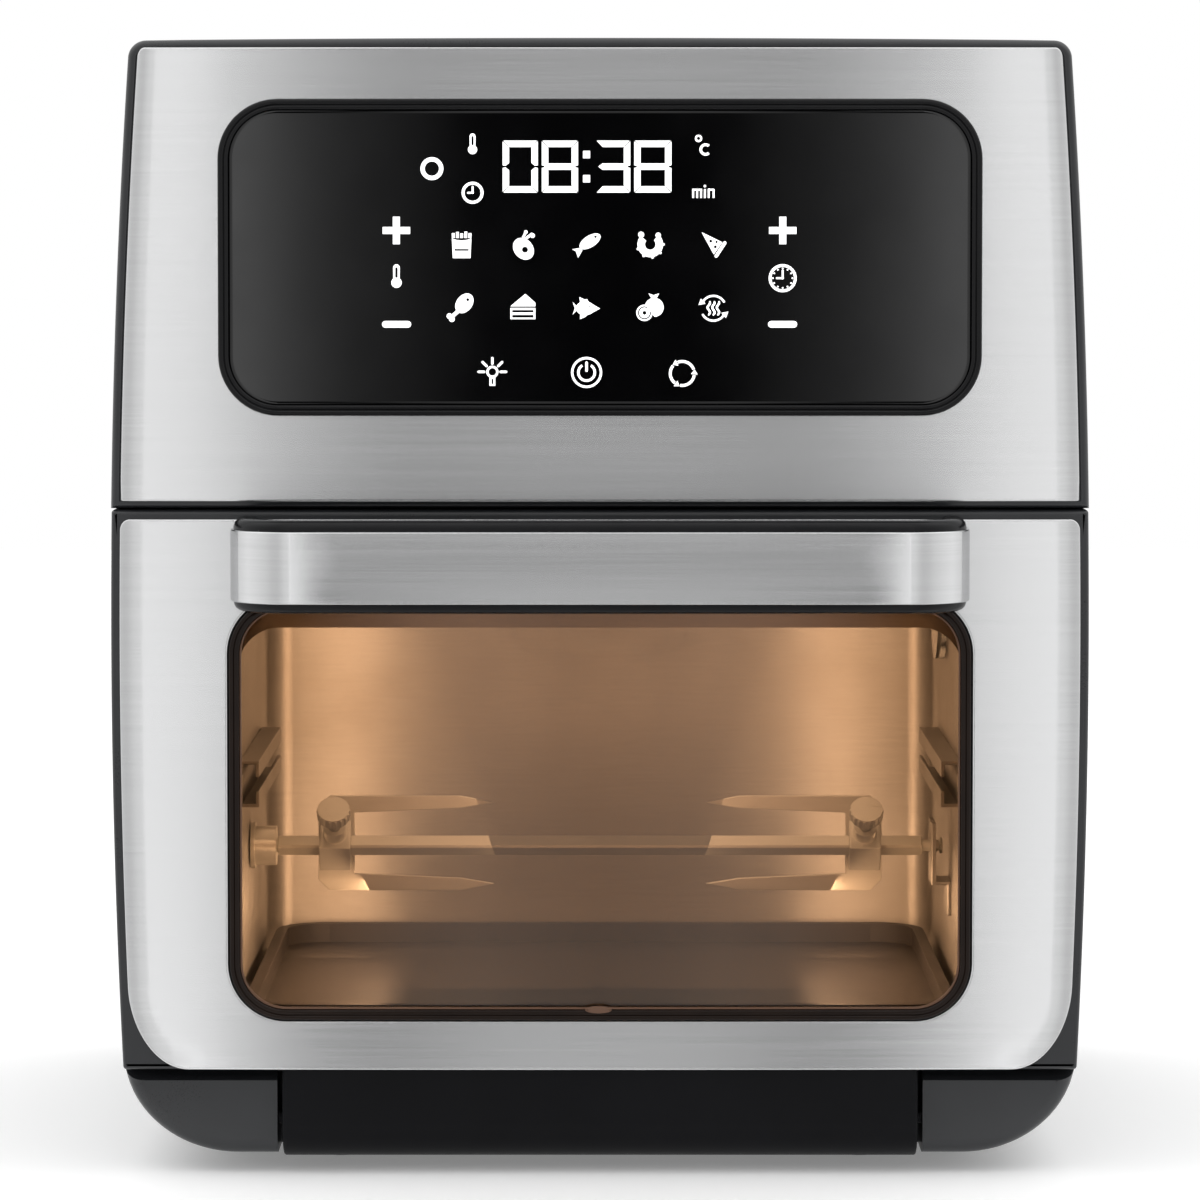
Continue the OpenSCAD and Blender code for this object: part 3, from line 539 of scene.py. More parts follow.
STEEL = brushed("brushed_steel_x", (0.70, 0.703, 0.708), 0.20, 0.98)
STEEL_HANDLE = brushed("brushed_steel_handle", (0.70, 0.703, 0.708), 0.20, 0.98)
HOUSING = moulded("housing_spark_texture", (0.022, 0.023, 0.025), 0.44, 0.5, 1900.0)
FRAME = moulded("frame_satin_black", (0.016, 0.017, 0.019), 0.30, 0.22, 2600.0)
FRAME_FINE = moulded("frame_gloss_black", (0.005, 0.0052, 0.006), 0.2, 0.10, 2600.0, spec=0.2)
BLOCK = moulded("block_deep_black", (0.0035, 0.0036, 0.0045), 0.32, 0.10, 2600.0, spec=0.10)
BEZEL = moulded("bezel_gloss_black", (0.004, 0.004, 0.0046), 0.16, 0.06, 2600.0, spec=0.22, wear=0.1)
RUBBER = moulded("rubber_matt", (0.02, 0.02, 0.02), 0.75, 0.6, 1500.0)
SEAL = moulded("silicone_seal_grey", (0.05, 0.046, 0.044), 0.6, 0.4, 1500.0)
CARRIER = moulded("carrier_plastic", (0.05, 0.05, 0.055), 0.5, 0.3, 1700.0)
PLUNGER = moulded("plunger_plastic", (0.45, 0.06, 0.04), 0.4, 0.2, 1700.0)
CHAMBER = satin_metal("chamber_steel", (0.47, 0.455, 0.435), 0.44, (60, 60, 1200), 0.07, (0.39, 0.35, 0.30))
ZINC = spangled("zinc_sheet", (0.60, 0.61, 0.62))
BRIGHT = satin_metal("bright_spit_steel", (0.72, 0.70, 0.64), 0.34, (40, 300, 300), 0.06, (0.58, 0.53, 0.45), metal=0.45)
SCREW = satin_metal("plated_screw", (0.58, 0.585, 0.59), 0.28, (400, 400, 400), 0.06)
HEATER = satin_metal("oxidised_tube", (0.20, 0.175, 0.15), 0.5, (200, 200, 200), 0.2, (0.30, 0.20, 0.14))
MOTOR = satin_metal("motor_case", (0.42, 0.425, 0.43), 0.4, (100, 100, 700), 0.1)
ENAMEL_TRAY = moulded("tray_coating", (0.060, 0.056, 0.056), 0.5, 0.25, 900.0, spec=0.15, wear=0.25)


def board():
    m, nt, p = new_mat("circuit_board", (0.03, 0.16, 0.07), 0.35, coat=0.3)
    v = nt.nodes.new("ShaderNodeTexBrick")
    v.inputs["Scale"].default_value = 180.0
    v.inputs["Mortar Size"].default_value = 0.05
    nt.links.new(coords(nt, (1, 1, 1)), v.inputs["Vector"])
    nt.links.new(mix(nt, v.outputs["Fac"], (0.02, 0.15, 0.06), (0.05, 0.25, 0.11)), p.inputs["Base Color"])
    return m


BOARD = board()
DISPLAY = moulded("display_module", (0.02, 0.02, 0.024), 0.3, 0.2, 1500.0)
OUTER_GLASS = pane("amber_window_glass", (0.80, 0.555, 0.375))
INNER_GLASS = pane("clear_heat_glass", (0.97, 0.93, 0.88))
BULB = pane("bulb_glass", (0.97, 0.95, 0.9))
LENS = pane("lamp_lens_glass", (0.93, 0.95, 0.95), 0.15)


def panel_glass():
    """Smoked black touch glass: dark body with a clean polished face and the faintest haze."""
    m, nt, p = new_mat("touch_panel_glass", (0.0016, 0.0016, 0.0018), 0.05, spec=0.5, ior=1.5)
    haze = noise(nt, 40.0, 2.0, 0.5)
    nt.links.new(mix(nt, haze, (0.0010, 0.0010, 0.0012), (0.0024, 0.0024, 0.0027)), p.inputs["Base Color"])
    nt.links.new(remap(nt, haze, 0.3, 0.7, 0.04, 0.065), p.inputs["Roughness"])
    return m


PANEL = panel_glass()


def lit_legend():
    m, nt, p = new_mat("lit_legend_white", (0.9, 0.9, 0.9), 0.4, glow=(1.0, 1.0, 1.0), glow_strength=1.1)
    n = noise(nt, 500.0, 2.0, 0.5)
    nt.links.new(mix(nt, n, (0.86, 0.87, 0.88), (0.95, 0.95, 0.95)), p.inputs["Base Color"])
    return m


LEGEND = lit_legend()

BY_SLOT = {
    "housing_black": HOUSING, "frame_black": FRAME, "face_steel": STEEL, "bezel_black": BEZEL, "panel_glass": PANEL,
    "window_glass": OUTER_GLASS, "inner_glass": INNER_GLASS, "chamber_steel": CHAMBER, "zinc_steel": ZINC, "bright_steel": BRIGHT,
    "heater_metal": HEATER, "motor_metal": MOTOR, "board_green": BOARD, "display_dark": DISPLAY, "carrier_grey": CARRIER,
    "rubber_black": RUBBER, "seal_grey": SEAL, "tray_enamel": ENAMEL_TRAY, "screw_zinc": SCREW, "bulb_glass": BULB,
    "lens_glass": LENS, "plunger_red": PLUNGER,
}

# hinge pins coloured near-black: painted shade, standing in for the shade that falls in the gap under the door
PIN_GAP_SHADE = satin_metal("pin_black_oxide", (0.020, 0.020, 0.022), 0.42)

# Carried-over CAD nodes take the material of their slot, welded and with softened edges
slot_of = {}
for mat_row in frame["record"].get("materials", []):
    for node_name in mat_row.get("nodes", []):
        slot_of[node_name] = mat_row.get("slot")
for name, o in NODES.items():
    slot = slot_of.get(name)
    if slot is None and o.data.materials and o.data.materials[0]:
        slot = o.data.materials[0].name.split(".")[0]
    material = PIN_GAP_SHADE if name == "hinge_pins" else BY_SLOT.get(slot, HOUSING)
    if not o.data.materials:
        o.data.materials.append(material)
    for s in o.material_slots:
        s.link = "OBJECT"
        s.material = material
    w = o.modifiers.new("weld", "WELD")
    w.merge_threshold = 1e-6
    bv = o.modifiers.new("soften", "BEVEL")
    bv.width = 0.25 * MM
    bv.segments = 2
    bv.limit_method = "ANGLE"
    bv.angle_limit = math.radians(40)

# ================================================================ pieces
BOW = 1.2
W_SIDE = 158.5


def bow(x):
    return BOW * (x / 158.0) ** 2


def roll(t):
    """How far the steel face falls back near its side edge, at t from the edge."""
    return 1.0 * (1 - t / 9.0) ** 3 if t < 9.0 else 0.0


def straight_to_side(x, z, half):
    """Maps the straight-sided drawing onto the bowed side whose half width is half(z)."""
    ax, s = abs(x), (1 if x >= 0 else -1)
    if ax <= 130:
        return x
    return s * (130 + (ax - 130) * (half(z) - 130) / (W_SIDE - 130))


X_CUTS = [s * (W_SIDE - t) for s in (-1, 1) for t in (0.5, 1.1, 1.8, 2.6, 3.5, 4.5, 5.6, 6.8, 8.1, 9.6, 12, 16)] + [i * 10.0 for i in range(-13, 14)]
SOFT = [(0.0, 1.5), (0.0, 0.42), (0.06, 0.22), (0.2, 0.07), (0.42, 0.0)]


# ---- steel fascia
def fascia():
    b = Build()
    zt = BODY_H - 3.3
    h = []
    z0 = FASCIA_Z
    h.append((W_SIDE - 0.9, z0))
    h.append((W_SIDE - 0.25, z0 + 0.25))
    for i in range(1, 25):
        h.append((W_SIDE, z0 + 0.9 + i * (zt - 3.0 - z0 - 0.9) / 24))
    for i in range(1, 8):
        a = math.radians(90 * i / 8)
        h.append((W_SIDE - 3.0 + 3.0 * math.cos(a), zt - 3.0 + 3.0 * math.sin(a)))
    h.append((W_SIDE - 3.0, zt))
    for i in range(1, 13):
        x = (W_SIDE - 3.0) * (1 - i / 13)
        h.append((x, zt))
    loop = h + [(0.0, zt)] + mirrored(h)
    b.plate(loop, [rrect(247.6, 100.6, 18.4, 0, PANEL_Z)], 0.0, SOFT)

    def warp(x, y, z):
        t = W_SIDE - abs(x)
        return (straight_to_side(x, z, lambda q: side_half(q) - 3.3), FRONT_Y - BOW + bow(x) + roll(t) + y, z)
    return piece(b, "fascia_sheet", "oven", STEEL, cuts=cuts_x(X_CUTS), warp=warp, sharp=35, replaces=("fascia_panel",))


fascia()


# ---- control bezel: two ridges with a groove, then the black glass
def bezel():
    y0 = FRONT_Y - BOW
    prof = [(0.0, -1.0), (0.0, -0.30), (0.1, -0.75), (0.4, -1.15), (0.9, -1.38), (1.35, -1.35), (1.7, -1.15), (1.85, -0.85), (2.0, -0.80), (2.15, -0.90),
            (2.4, -1.15), (2.8, -1.22), (3.2, -1.1), (3.5, -0.8), (3.62, -0.4), (3.62, 0.9), (4.6, 1.2), (6.5, 1.2), (6.5, 6.6), (2.0, 6.6), (1.9, 0.2), (0.0, 0.05)]
    prof = prof[1:]
    b = Build().band(rrect(251, 104, 19.8, 0, PANEL_Z, n=16), [(i, y0 + d) for i, d in prof])

    def warp(x, y, z):
        return (x, y + bow(x) * (1.0 if y < y0 + 1.5 else 0.0), z)
    return piece(b, "bezel_ring", "oven", BEZEL, cuts=cuts_x([i * 12.0 for i in range(-10, 11)]), warp=warp, sharp=50, replaces=("control_bezel",))


bezel()


def control_glass():
    b = Build()
    b.plate(rrect(243.4, 96.6, 15.8, 0, PANEL_Z, n=16), [], -134.45, [(0.5, 2.7), (0.0, 2.4), (0.0, 0.5), (0.12, 0.2), (0.35, 0.05), (0.7, 0.0)])
    return piece(b, "touch_glass", "oven", PANEL, sharp=40, replaces=("control_glass",))


control_glass()


# ---- legends on the glass, all generic shapes
class Flat:
    """Thin raised shapes on the panel, in mm from the middle of the panel."""

    def __init__(self, y, t=0.06):
        self.b, self.y, self.t = Build(), y, t

    def shape(self, loop, holes=()):
        rings = []
        for l in [loop, *holes]:
            a = self.b.ring([(x, self.y, z) for x, z in l])
            c = self.b.ring([(x, self.y - self.t, z) for x, z in l])
            self.b.strip(a, c)
            rings.append((a, c))
        self.b.fill([r[0] for r in rings])
        self.b.fill([r[1] for r in rings])

    def bar(self, x0, z0, x1, z1, w, rounded=True):
        d = Vector((x1 - x0, z1 - z0))
        n = Vector((-d.y, d.x)).normalized() * (w / 2)
        u = d.normalized()
        pts = []
        if rounded:
            for cx, cz, a0 in ((x1, z1, -90), (x0, z0, 90)):
                for i in range(7):
                    a = math.radians(a0 + 180 * i / 6)
                    q = u * math.cos(a) * (w / 2) + n * math.sin(a)
                    pts.append((cx + q.x, cz + q.y))
        else:
            pts = [(x0 - n.x, z0 - n.y), (x1 - n.x, z1 - n.y), (x1 + n.x, z1 + n.y), (x0 + n.x, z0 + n.y)]
        self.shape(pts)

    def ring(self, cx, cz, ro, ri, a0=0.0, a1=360.0, n=40):
        if a1 - a0 >= 359.9:
            self.shape(circle(ro, cx, cz, n), [circle(ri, cx, cz, n)])
            return
        pts = []
        for k in range(n + 1):
            a = math.radians(a0 + (a1 - a0) * k / n)
            pts.append((cx + ro * math.cos(a), cz + ro * math.sin(a)))
        for k in range(n, -1, -1):
            a = math.radians(a0 + (a1 - a0) * k / n)
            pts.append((cx + ri * math.cos(a), cz + ri * math.sin(a)))
        self.shape(pts)

    def disc(self, cx, cz, r, n=20):
        self.shape(circle(r, cx, cz, n))

    def blob(self, cx, cz, rx, rz, rot, n=24, holes=()):
        c, s = math.cos(math.radians(rot)), math.sin(math.radians(rot))
        pts = []
        for k in range(n):
            a = 2 * math.pi * k / n
            px, pz = rx * math.cos(a), rz * math.sin(a)
            pts.append((cx + px * c - pz * s, cz + px * s + pz * c))
        self.shape(pts, holes)


def seven(f, cx, cz, w, h, t, on, gap=0.22):
    """One seven-segment digit."""
    x0, x1, z0, z1 = cx - w / 2, cx + w / 2, cz - h / 2, cz + h / 2
    g = gap
    if "a" in on:
        f.shape([(x0 + g, z1), (x0 + t + g * 0.4, z1 - t), (x1 - t - g * 0.4, z1 - t), (x1 - g, z1)][::-1][::-1][::-1])
    if "d" in on:
        f.shape([(x0 + g, z0), (x1 - g, z0), (x1 - t - g * 0.4, z0 + t), (x0 + t + g * 0.4, z0 + t)])
    if "g" in on:
        f.shape([(x0 + t * 0.35, cz), (x0 + t, cz - t / 2), (x1 - t, cz - t / 2), (x1 - t * 0.35, cz), (x1 - t, cz + t / 2), (x0 + t, cz + t / 2)])
    for key, sx, sz in (("f", -1, 1), ("b", 1, 1), ("e", -1, -1), ("c", 1, -1)):
        if key in on:
            xo = cx + sx * w / 2
            xi = xo - sx * t
            zo, zi = cz + sz * (h / 2 - g), cz + sz * g * 1.2
            pts = [(xo, zo), (xo, zi + sz * 0.15), (xo - sx * t * 0.45, zi), (xi, zi + sz * t * 0.45), (xi, zo - sz * (t - g * 0.2))]
            if (sx > 0) == (sz > 0):
                pts = pts[::-1]
            f.shape(pts)


def P(px, py):
    return ((px - 599.9) * 0.3292, (1162 - py) * 0.3292 + 6.5)


def thermometer(f, cx, cz, k=1.0):
    pts = []
    for i in range(9):
        a = math.radians(180 * i / 8)
        pts.append((cx + 1.35 * k * math.cos(a), cz + 3.4 * k + 1.35 * k * math.sin(a)))
    for i in range(15):
        a = math.radians(128 + 284 * i / 14)
        pts.append((cx + 2.1 * k * math.cos(a), cz - 2.6 * k + 2.1 * k * math.sin(a)))
    slot_h = [(cx - 0.5 * k, cz - 0.6 * k), (cx + 0.5 * k, cz - 0.6 * k), (cx + 0.5 * k, cz + 3.0 * k), (cx + 0.3 * k, cz + 3.5 * k), (cx - 0.3 * k, cz + 3.5 * k), (cx - 0.5 * k, cz + 3.0 * k)]
    f.shape(pts, [slot_h])


def clock(f, cx, cz, r, w, ticks=True):
    f.ring(cx, cz, r, r - w)
    if ticks:
        for k in range(12):
            a = math.radians(30 * k)
            f.bar(cx + (r - w - 0.25) * math.cos(a), cz + (r - w - 0.25) * math.sin(a), cx + (r - w - 0.75) * math.cos(a), cz + (r - w - 0.75) * math.sin(a), 0.5, False)
    f.bar(cx, cz, cx, cz + r * 0.55, 0.62)
    f.bar(cx, cz, cx - r * 0.42, cz, 0.62)


def legends():
    f = Flat(-134.46)
    # digits and their colon
    _, zc = P(0, 166)
    for (pa, pb), on in zip(((503, 538), (542, 578), (596, 630), (634, 671)), ("abcdef", "abcdefg", "abcdg", "abcdefg")):
        seven(f, P((pa + pb) / 2, 0)[0], zc, (pb - pa) * 0.3292, 17.0, 2.1, on)
    for py in (154, 178):
        x, z = P(586.5, py)
        f.shape([(x - 1.15, z - 1.2), (x + 1.15, z - 1.2), (x + 1.15, z + 1.2), (x - 1.15, z + 1.2)])
    x, z = P(432.5, 168)
    f.ring(x, z, 3.75, 2.35)
    x, z = P(473, 144)
    thermometer(f, x, z + 0.2, 0.72)
    x, z = P(397, 275)
    thermometer(f, x, z, 0.82)
    x, z = P(473, 192)
    clock(f, x, z, 3.6, 0.95, False)
    x, z = P(782, 277)
    clock(f, x, z, 4.6, 0.9)
    # degree C and the minutes sign
    x, z = P(698, 138)
    f.ring(x, z, 1.2, 0.55, n=20)
    x, z = P(705, 149)
    f.ring(x, z, 2.0, 1.15, 48, 312)
    x, z = P(703, 192)
    for k, dx in enumerate((-3.4, -2.1, -0.8)):
        f.bar(x + dx, z - 1.7, x + dx, z + 0.9, 0.62, False)
    f.bar(x - 3.7, z + 1.0, x - 0.5, z + 1.0, 0.62, False)
    f.bar(x + 0.45, z - 1.7, x + 0.45, z + 1.2, 0.62, False)
    f.disc(x + 0.45, z + 2.2, 0.42, 12)
    f.bar(x + 1.7, z - 1.7, x + 1.7, z + 1.3, 0.62, False)
    f.bar(x + 1.7, z + 1.0, x + 3.3, z + 1.0, 0.62, False)
    f.bar(x + 3.3, z - 1.7, x + 3.3, z + 1.2, 0.62, False)
    # plus and minus keys
    for px in (397, 782):
        x, z = P(px, 229.5)
        k, t = 4.5, 1.15
        f.shape([(x - t, z - k), (x + t, z - k), (x + t, z - t), (x + k, z - t), (x + k, z + t), (x + t, z + t), (x + t, z + k), (x - t, z + k), (x - t, z + t), (x - k, z + t), (x - k, z - t), (x - t, z - t)])
        x, z = P(px, 323)
        f.bar(x - 3.7, z, x + 3.7, z, 2.2)
    # chips in a carton
    x, z = P(462, 244)
    f.shape([(x - 2.9, z - 4.3), (x + 2.9, z - 4.3), (x + 3.2, z + 2.2), (x + 1.8, z + 1.7), (x, z + 1.5), (x - 1.8, z + 1.7), (x - 3.2, z + 2.2)],
            [[(x - 2.3, z - 1.9), (x + 2.3, z - 1.9), (x + 2.35, z - 1.3), (x - 2.35, z - 1.3)]])
    for k, (dx, h) in enumerate(((-2.7, 3.9), (-1.35, 4.3), (0.0, 3.8), (1.35, 4.4), (2.7, 3.9))):
        f.bar(x + dx, z + 2.3, x + dx * 1.02, z + h, 0.95, False)
    # whole roast bird, with a loop for the leg
    x, z = P(523, 245)
    f.blob(x + 0.2, z - 0.9, 3.9, 3.1, -50, holes=[circle(1.0, x + 0.7, z - 1.2, 14)])
    f.bar(x + 0.9, z + 2.4, x + 2.9, z + 3.9, 0.9)
    f.bar(x + 0.1, z + 2.9, x + 1.0, z + 4.5, 0.8)
    f.disc(x + 3.2, z + 3.4, 0.75)
    f.disc(x + 1.0, z + 4.6, 0.6)
    # fish on a slant
    x, z = P(586, 244)
    f.blob(x + 1.3, z + 1.2, 3.9, 1.9, 32, holes=[circle(0.45, x + 3.1, z + 2.7, 10)])
    f.shape([(x - 1.6, z - 0.9), (x - 4.6, z - 1.4), (x - 3.4, z - 2.0), (x - 2.6, z - 4.2), (x - 1.2, z - 1.7)])
    # prawn
    x, z = P(650, 244)
    f.ring(x, z + 0.2, 4.2, 1.75, -222, 48, 30)
    for a in (-160, -120, -80, -40, 0):
        r = math.radians(a)
        f.disc(x + 4.3 * math.cos(r), z + 0.2 + 4.3 * math.sin(r), 0.45, 10)
    f.disc(x - 3.0, z + 3.4, 1.0, 14)
    f.disc(x + 2.6, z + 3.2, 0.9, 14)
    # slice of pizza
    x, z = P(713, 244)
    f.shape([(x - 3.9, z + 4.2), (x + 0.1, z - 3.1), (x + 2.9, z + 0.9)], [circle(0.5, x - 0.9, z + 1.3, 10), circle(0.5, x + 0.6, z - 0.6, 10), circle(0.42, x + 1.0, z + 1.0, 10)])
    f.bar(x + 0.9, z - 3.6, x + 3.7, z + 0.7, 1.1)
    # drumstick
    x, z = P(461, 306)
    f.blob(x + 1.2, z + 1.3, 3.6, 2.6, 52, holes=[circle(0.5, x + 2.3, z + 2.5, 10)])
    f.bar(x - 0.9, z - 1.3, x - 3.0, z - 3.2, 1.25)
    f.disc(x - 3.7, z - 2.9, 0.95, 14)
    f.disc(x - 2.9, z - 3.9, 0.95, 14)
    # slice of cake
    x, z = P(523, 306)
    f.shape([(x - 4.1, z + 0.3), (x + 0.8, z + 4.4), (x + 4.1, z + 1.5), (x + 4.1, z + 0.3)])
    f.shape([(x - 4.1, z - 3.9), (x + 4.1, z - 3.9), (x + 4.1, z - 0.2), (x - 4.1, z - 0.2)],
            [[(x - 3.5, z - 3.4), (x + 3.5, z - 3.4), (x + 3.5, z - 2.5), (x - 3.5, z - 2.5)], [(x - 3.5, z - 1.7), (x + 3.5, z - 1.7), (x + 3.5, z - 0.9), (x - 3.5, z - 0.9)]])
    # whole fish with fins
    x, z = P(586, 307)
    f.blob(x - 0.4, z, 2.9, 2.3, 0, holes=[circle(0.42, x + 1.3, z + 0.5, 10)])
    f.shape([(x + 1.2, z - 1.9), (x + 4.6, z - 0.1), (x + 1.2, z + 1.9)])
    f.shape([(x - 2.6, z + 0.2), (x - 4.4, z + 2.1), (x - 3.7, z), (x - 4.4, z - 2.1), (x - 2.6, z - 0.2)])
    f.shape([(x - 1.9, z + 1.5), (x - 2.2, z + 3.7), (x - 0.5, z + 2.9), (x + 0.4, z + 3.0), (x + 0.9, z + 1.7)])
    f.shape([(x + 0.9, z - 1.7), (x - 0.2, z - 2.8), (x - 2.0, z - 3.6), (x - 1.9, z - 1.5)])
    # fruit: a whole one behind a cut one
    x, z = P(650, 307)
    f.shape([(x + 1.3 + 3.1 * math.cos(math.radians(a)), z + 0.3 + 3.1 * math.sin(math.radians(a))) for a in range(-88, 172, 10)])
    f.ring(x - 1.9, z - 1.5, 2.7, 2.15, n=24)
    f.ring(x - 1.9, z - 1.5, 1.75, 0.65, n=24)
    f.shape([(x + 0.4, z + 3.3), (x - 0.6, z + 4.9), (x + 1.1, z + 4.3), (x + 2.9, z + 4.9), (x + 2.1, z + 3.3)])
    # heat lines in two turning arrows
    x, z = P(713, 307)
    f.ring(x, z, 4.4, 3.75, 28, 152, 20)
    f.ring(x, z, 4.4, 3.75, 208, 332, 20)
    f.shape([(x - 4.9, z + 1.1), (x - 2.6, z + 1.5), (x - 4.1, z + 3.2)])
    f.shape([(x + 4.9, z - 1.1), (x + 2.6, z - 1.5), (x + 4.1, z - 3.2)])
    for dx in (-1.5, 0.0, 1.5):
        pts = [(x + dx + 0.42 * math.sin(k * 1.05), z - 2.1 + 4.2 * k / 8) for k in range(9)]
        for a, c in zip(pts, pts[1:]):
            f.bar(a[0], a[1], c[0], c[1], 0.58)
    # lamp with rays
    x, z = P(492.5, 371)
    f.ring(x, z + 0.2, 2.0, 1.25)
    f.shape([(x - 0.95, z - 4.4), (x + 0.95, z - 4.4), (x + 0.95, z - 1.6), (x - 0.95, z - 1.6)], [[(x - 0.3, z - 3.8), (x + 0.3, z - 3.8), (x + 0.3, z - 2.1), (x - 0.3, z - 2.1)]])
    for a in (0, 45, 90, 135, 180):
        r = math.radians(a)
        f.bar(x + 2.7 * math.cos(r), z + 0.2 + 2.7 * math.sin(r), x + 4.5 * math.cos(r), z + 0.2 + 4.5 * math.sin(r), 0.8)
    # power
    x, z = P(586.5, 371)
    f.ring(x, z, 5.1, 4.35)
    f.ring(x, z, 3.1, 2.3, 122, 418, 30)
    f.bar(x, z + 0.6, x, z + 3.2, 0.85)
    # rotation
    x, z = P(682, 372)
    for a0 in (20, 140, 260):
        f.ring(x, z, 4.4, 3.5, a0, a0 + 92, 16)
        r = math.radians(a0 + 96)
        c, s = math.cos(r), math.sin(r)
        tx, tz = -s, c
        q = 3.95
        f.shape([(x + (q - 1.1) * c, z + (q - 1.1) * s), (x + (q + 1.1) * c, z + (q + 1.1) * s), (x + q * c + tx * 1.6, z + q * s + tz * 1.6)])
    return piece(f.b, "panel_legends", "oven", LEGEND, sharp=20, weld=1e-5)


legends()


# ---- moulded front frame: hood ring, lip, plate behind the door and the two corner pieces
def hood_ring():
    b = Build()
    z0 = 221.9
    outer = hood_loop(0.0, z0)
    # section across the ring, the same number of points at each step
    steps = [(0.0, -101.5), (0.0, -128.4), (0.18, -129.5), (0.62, -130.5), (1.25, -131.2), (2.05, -131.5), (2.85, -131.5), (3.0, -131.3), (3.0, -129.0), (3.0, -101.5)]
    rings = []
    for d, y in steps:
        zb = z0 + min(d, 2.45) if d > 0 else z0
        rings.append(b.ring([(x, y, z) for x, z in hood_loop(d, zb)]))
    for a, c in zip(rings, rings[1:] + rings[:1]):
        b.strip(a, c)
    return piece(b, "hood_ring", "oven", FRAME, sharp=38, replaces=("front_frame",))


hood_ring()


def front_wall():
    b = Build()
    b.plate(hood_loop(3.05, 224.4), [rrect(248, 101, 18.5, 0, PANEL_Z)], -131.75, [(0.0, 2.4), (0.0, 0.3), (0.3, 0.0)])
    return piece(b, "front_wall", "oven", FRAME, sharp=38)


front_wall()


def mouth_plate():
    b = Build()
    h = full_half(0.0)
    low = [p for p in h if p[1] < 221.0] + [(side_half(221.9), 221.9)]
    loop = low + mirrored(low)
    hole = [(x, z) for x, z in rrect(253.2, 180, 4.0, 0, 132.4)]
    b.plate(loop, [hole], -104.0, [(0.0, 2.5), (0.0, 0.4), (0.12, 0.12), (0.4, 0.0)])
    return piece(b, "mouth_plate", "oven", FRAME, sharp=38)


mouth_plate()


def corner_piece(s):
    b = Build()
    arc = [p for p in full_half(0.0)]
    arc = [(107.2, LIP_Z)] + [p for p in arc if p[1] < 60]
    # running length along the lower edge and up the side
    length = [0.0]
    for p, q in zip(arc, arc[1:]):
        length.append(length[-1] + math.hypot(q[0] - p[0], q[1] - p[1]))

    def upto(zt):
        for k in range(1, len(arc)):
            if arc[k][1] >= zt:
                f = (zt - arc[k - 1][1]) / (arc[k][1] - arc[k - 1][1])
                return length[k - 1] + f * (length[k] - length[k - 1])

    def at(l):
        for k in range(1, len(arc)):
            if length[k] >= l - 1e-9:
                f = (l - length[k - 1]) / max(length[k] - length[k - 1], 1e-9)
                return (lerp(arc[k - 1][0], arc[k][0], f), lerp(arc[k - 1][1], arc[k][1], f))
        return arc[-1]

    def loop(y, d):
        zt = 35.0 if y >= HINGE_Y else HINGE_Z + math.sqrt(max(17.0 ** 2 - (y - HINGE_Y) ** 2, 0))
        zt -= min(d, 0.6)
        total = upto(zt)
        side = [at(total * (i / 40.0)) for i in range(41)]
        if d > 0:
            moved = []
            for i, p in enumerate(side):
                a, c = side[max(i - 1, 0)], side[min(i + 1, 40)]
                t = Vector((c[0] - a[0], c[1] - a[1])).normalized()
                moved.append((p[0] - t.y * d, p[1] + t.x * d))
            moved[-1] = (moved[-1][0], zt)
            moved[0] = (107.2, moved[0][1])
            side = moved
        top = [(lerp(side[-1][0], 107.2, i / 8.0), zt) for i in range(1, 9)]
        inner = [(107.2, lerp(zt, side[0][1], i / 5.0)) for i in range(1, 5)]
        return side + top + inner

    rings = []
    ys = [(-101.5, 0.0), (-108.0, 0.0), (-114.0, 0.0), (-118.0, 0.0), (-119.6, 0.0), (-120.9, 0.02), (-122.1, 0.1), (-123.2, 0.3), (-124.2, 0.6), (-125.1, 1.05), (-125.9, 1.7), (-126.6, 2.6), (-127.15, 3.8), (-127.5, 5.4)]
    for y, d in ys:
        rings.append(b.ring([(s * x, y, z) for x, z in loop(y, d)]))
    for a, c in zip(rings, rings[1:]):
        b.strip(a, c)
    b.fill([rings[0]])
    b.fill([rings[-1]])
    return piece(b, "corner_foot_left" if s < 0 else "corner_foot_right", "oven", FRAME, sharp=44, bevel=(0.35, 2, 44))


corner_piece(-1)
corner_piece(1)


# ---- door frame and its hinge block
def door_half(d, zb, zt, rt, ex, ez, n_side=24):
    out = []
    for i in range(18):
        a = math.radians(-90 + 5 * i)
        out.append((side_half(zb + ez) - d - ex + ex * math.cos(a), zb + ez + ez * math.sin(a)))
    for i in range(n_side + 1):
        z = zb + ez + i * (zt - rt - zb - ez) / n_side
        out.append((side_half(z) - d, z))
    for i in range(1, 9):
        a = math.radians(90 * i / 8)
        out.append((side_half(zt - rt) - d - rt + rt * math.cos(a), zt - rt + rt * math.sin(a)))
    return out


def door_loop(d, zb, zt, rt, ex, ez):
    h = door_half(d, zb, zt, rt, ex, ez)
    return h + mirrored(h)


def door_frame():
    b = Build()
    loop = door_loop(0.3, DOOR_BOTTOM, DOOR_TOP, 1.2, 1.2, 1.2)
    hole = rrect(WIN_W - 0.7, WIN_H - 0.7, 18.7, 0, WIN_Z)
    edge = [(0.0, 23.2), (0.0, 2.2), (0.12, 1.3), (0.5, 0.5), (1.05, 0.1), (1.6, 0.0)]
    b.plate(loop, [hole], -131.8, edge, [(0.0, 23.2), (0.0, 0.3), (0.3, 0.0)])
    piece(b, "door_shell", "door", FRAME, sharp=38, replaces=("door_frame",))


door_frame()


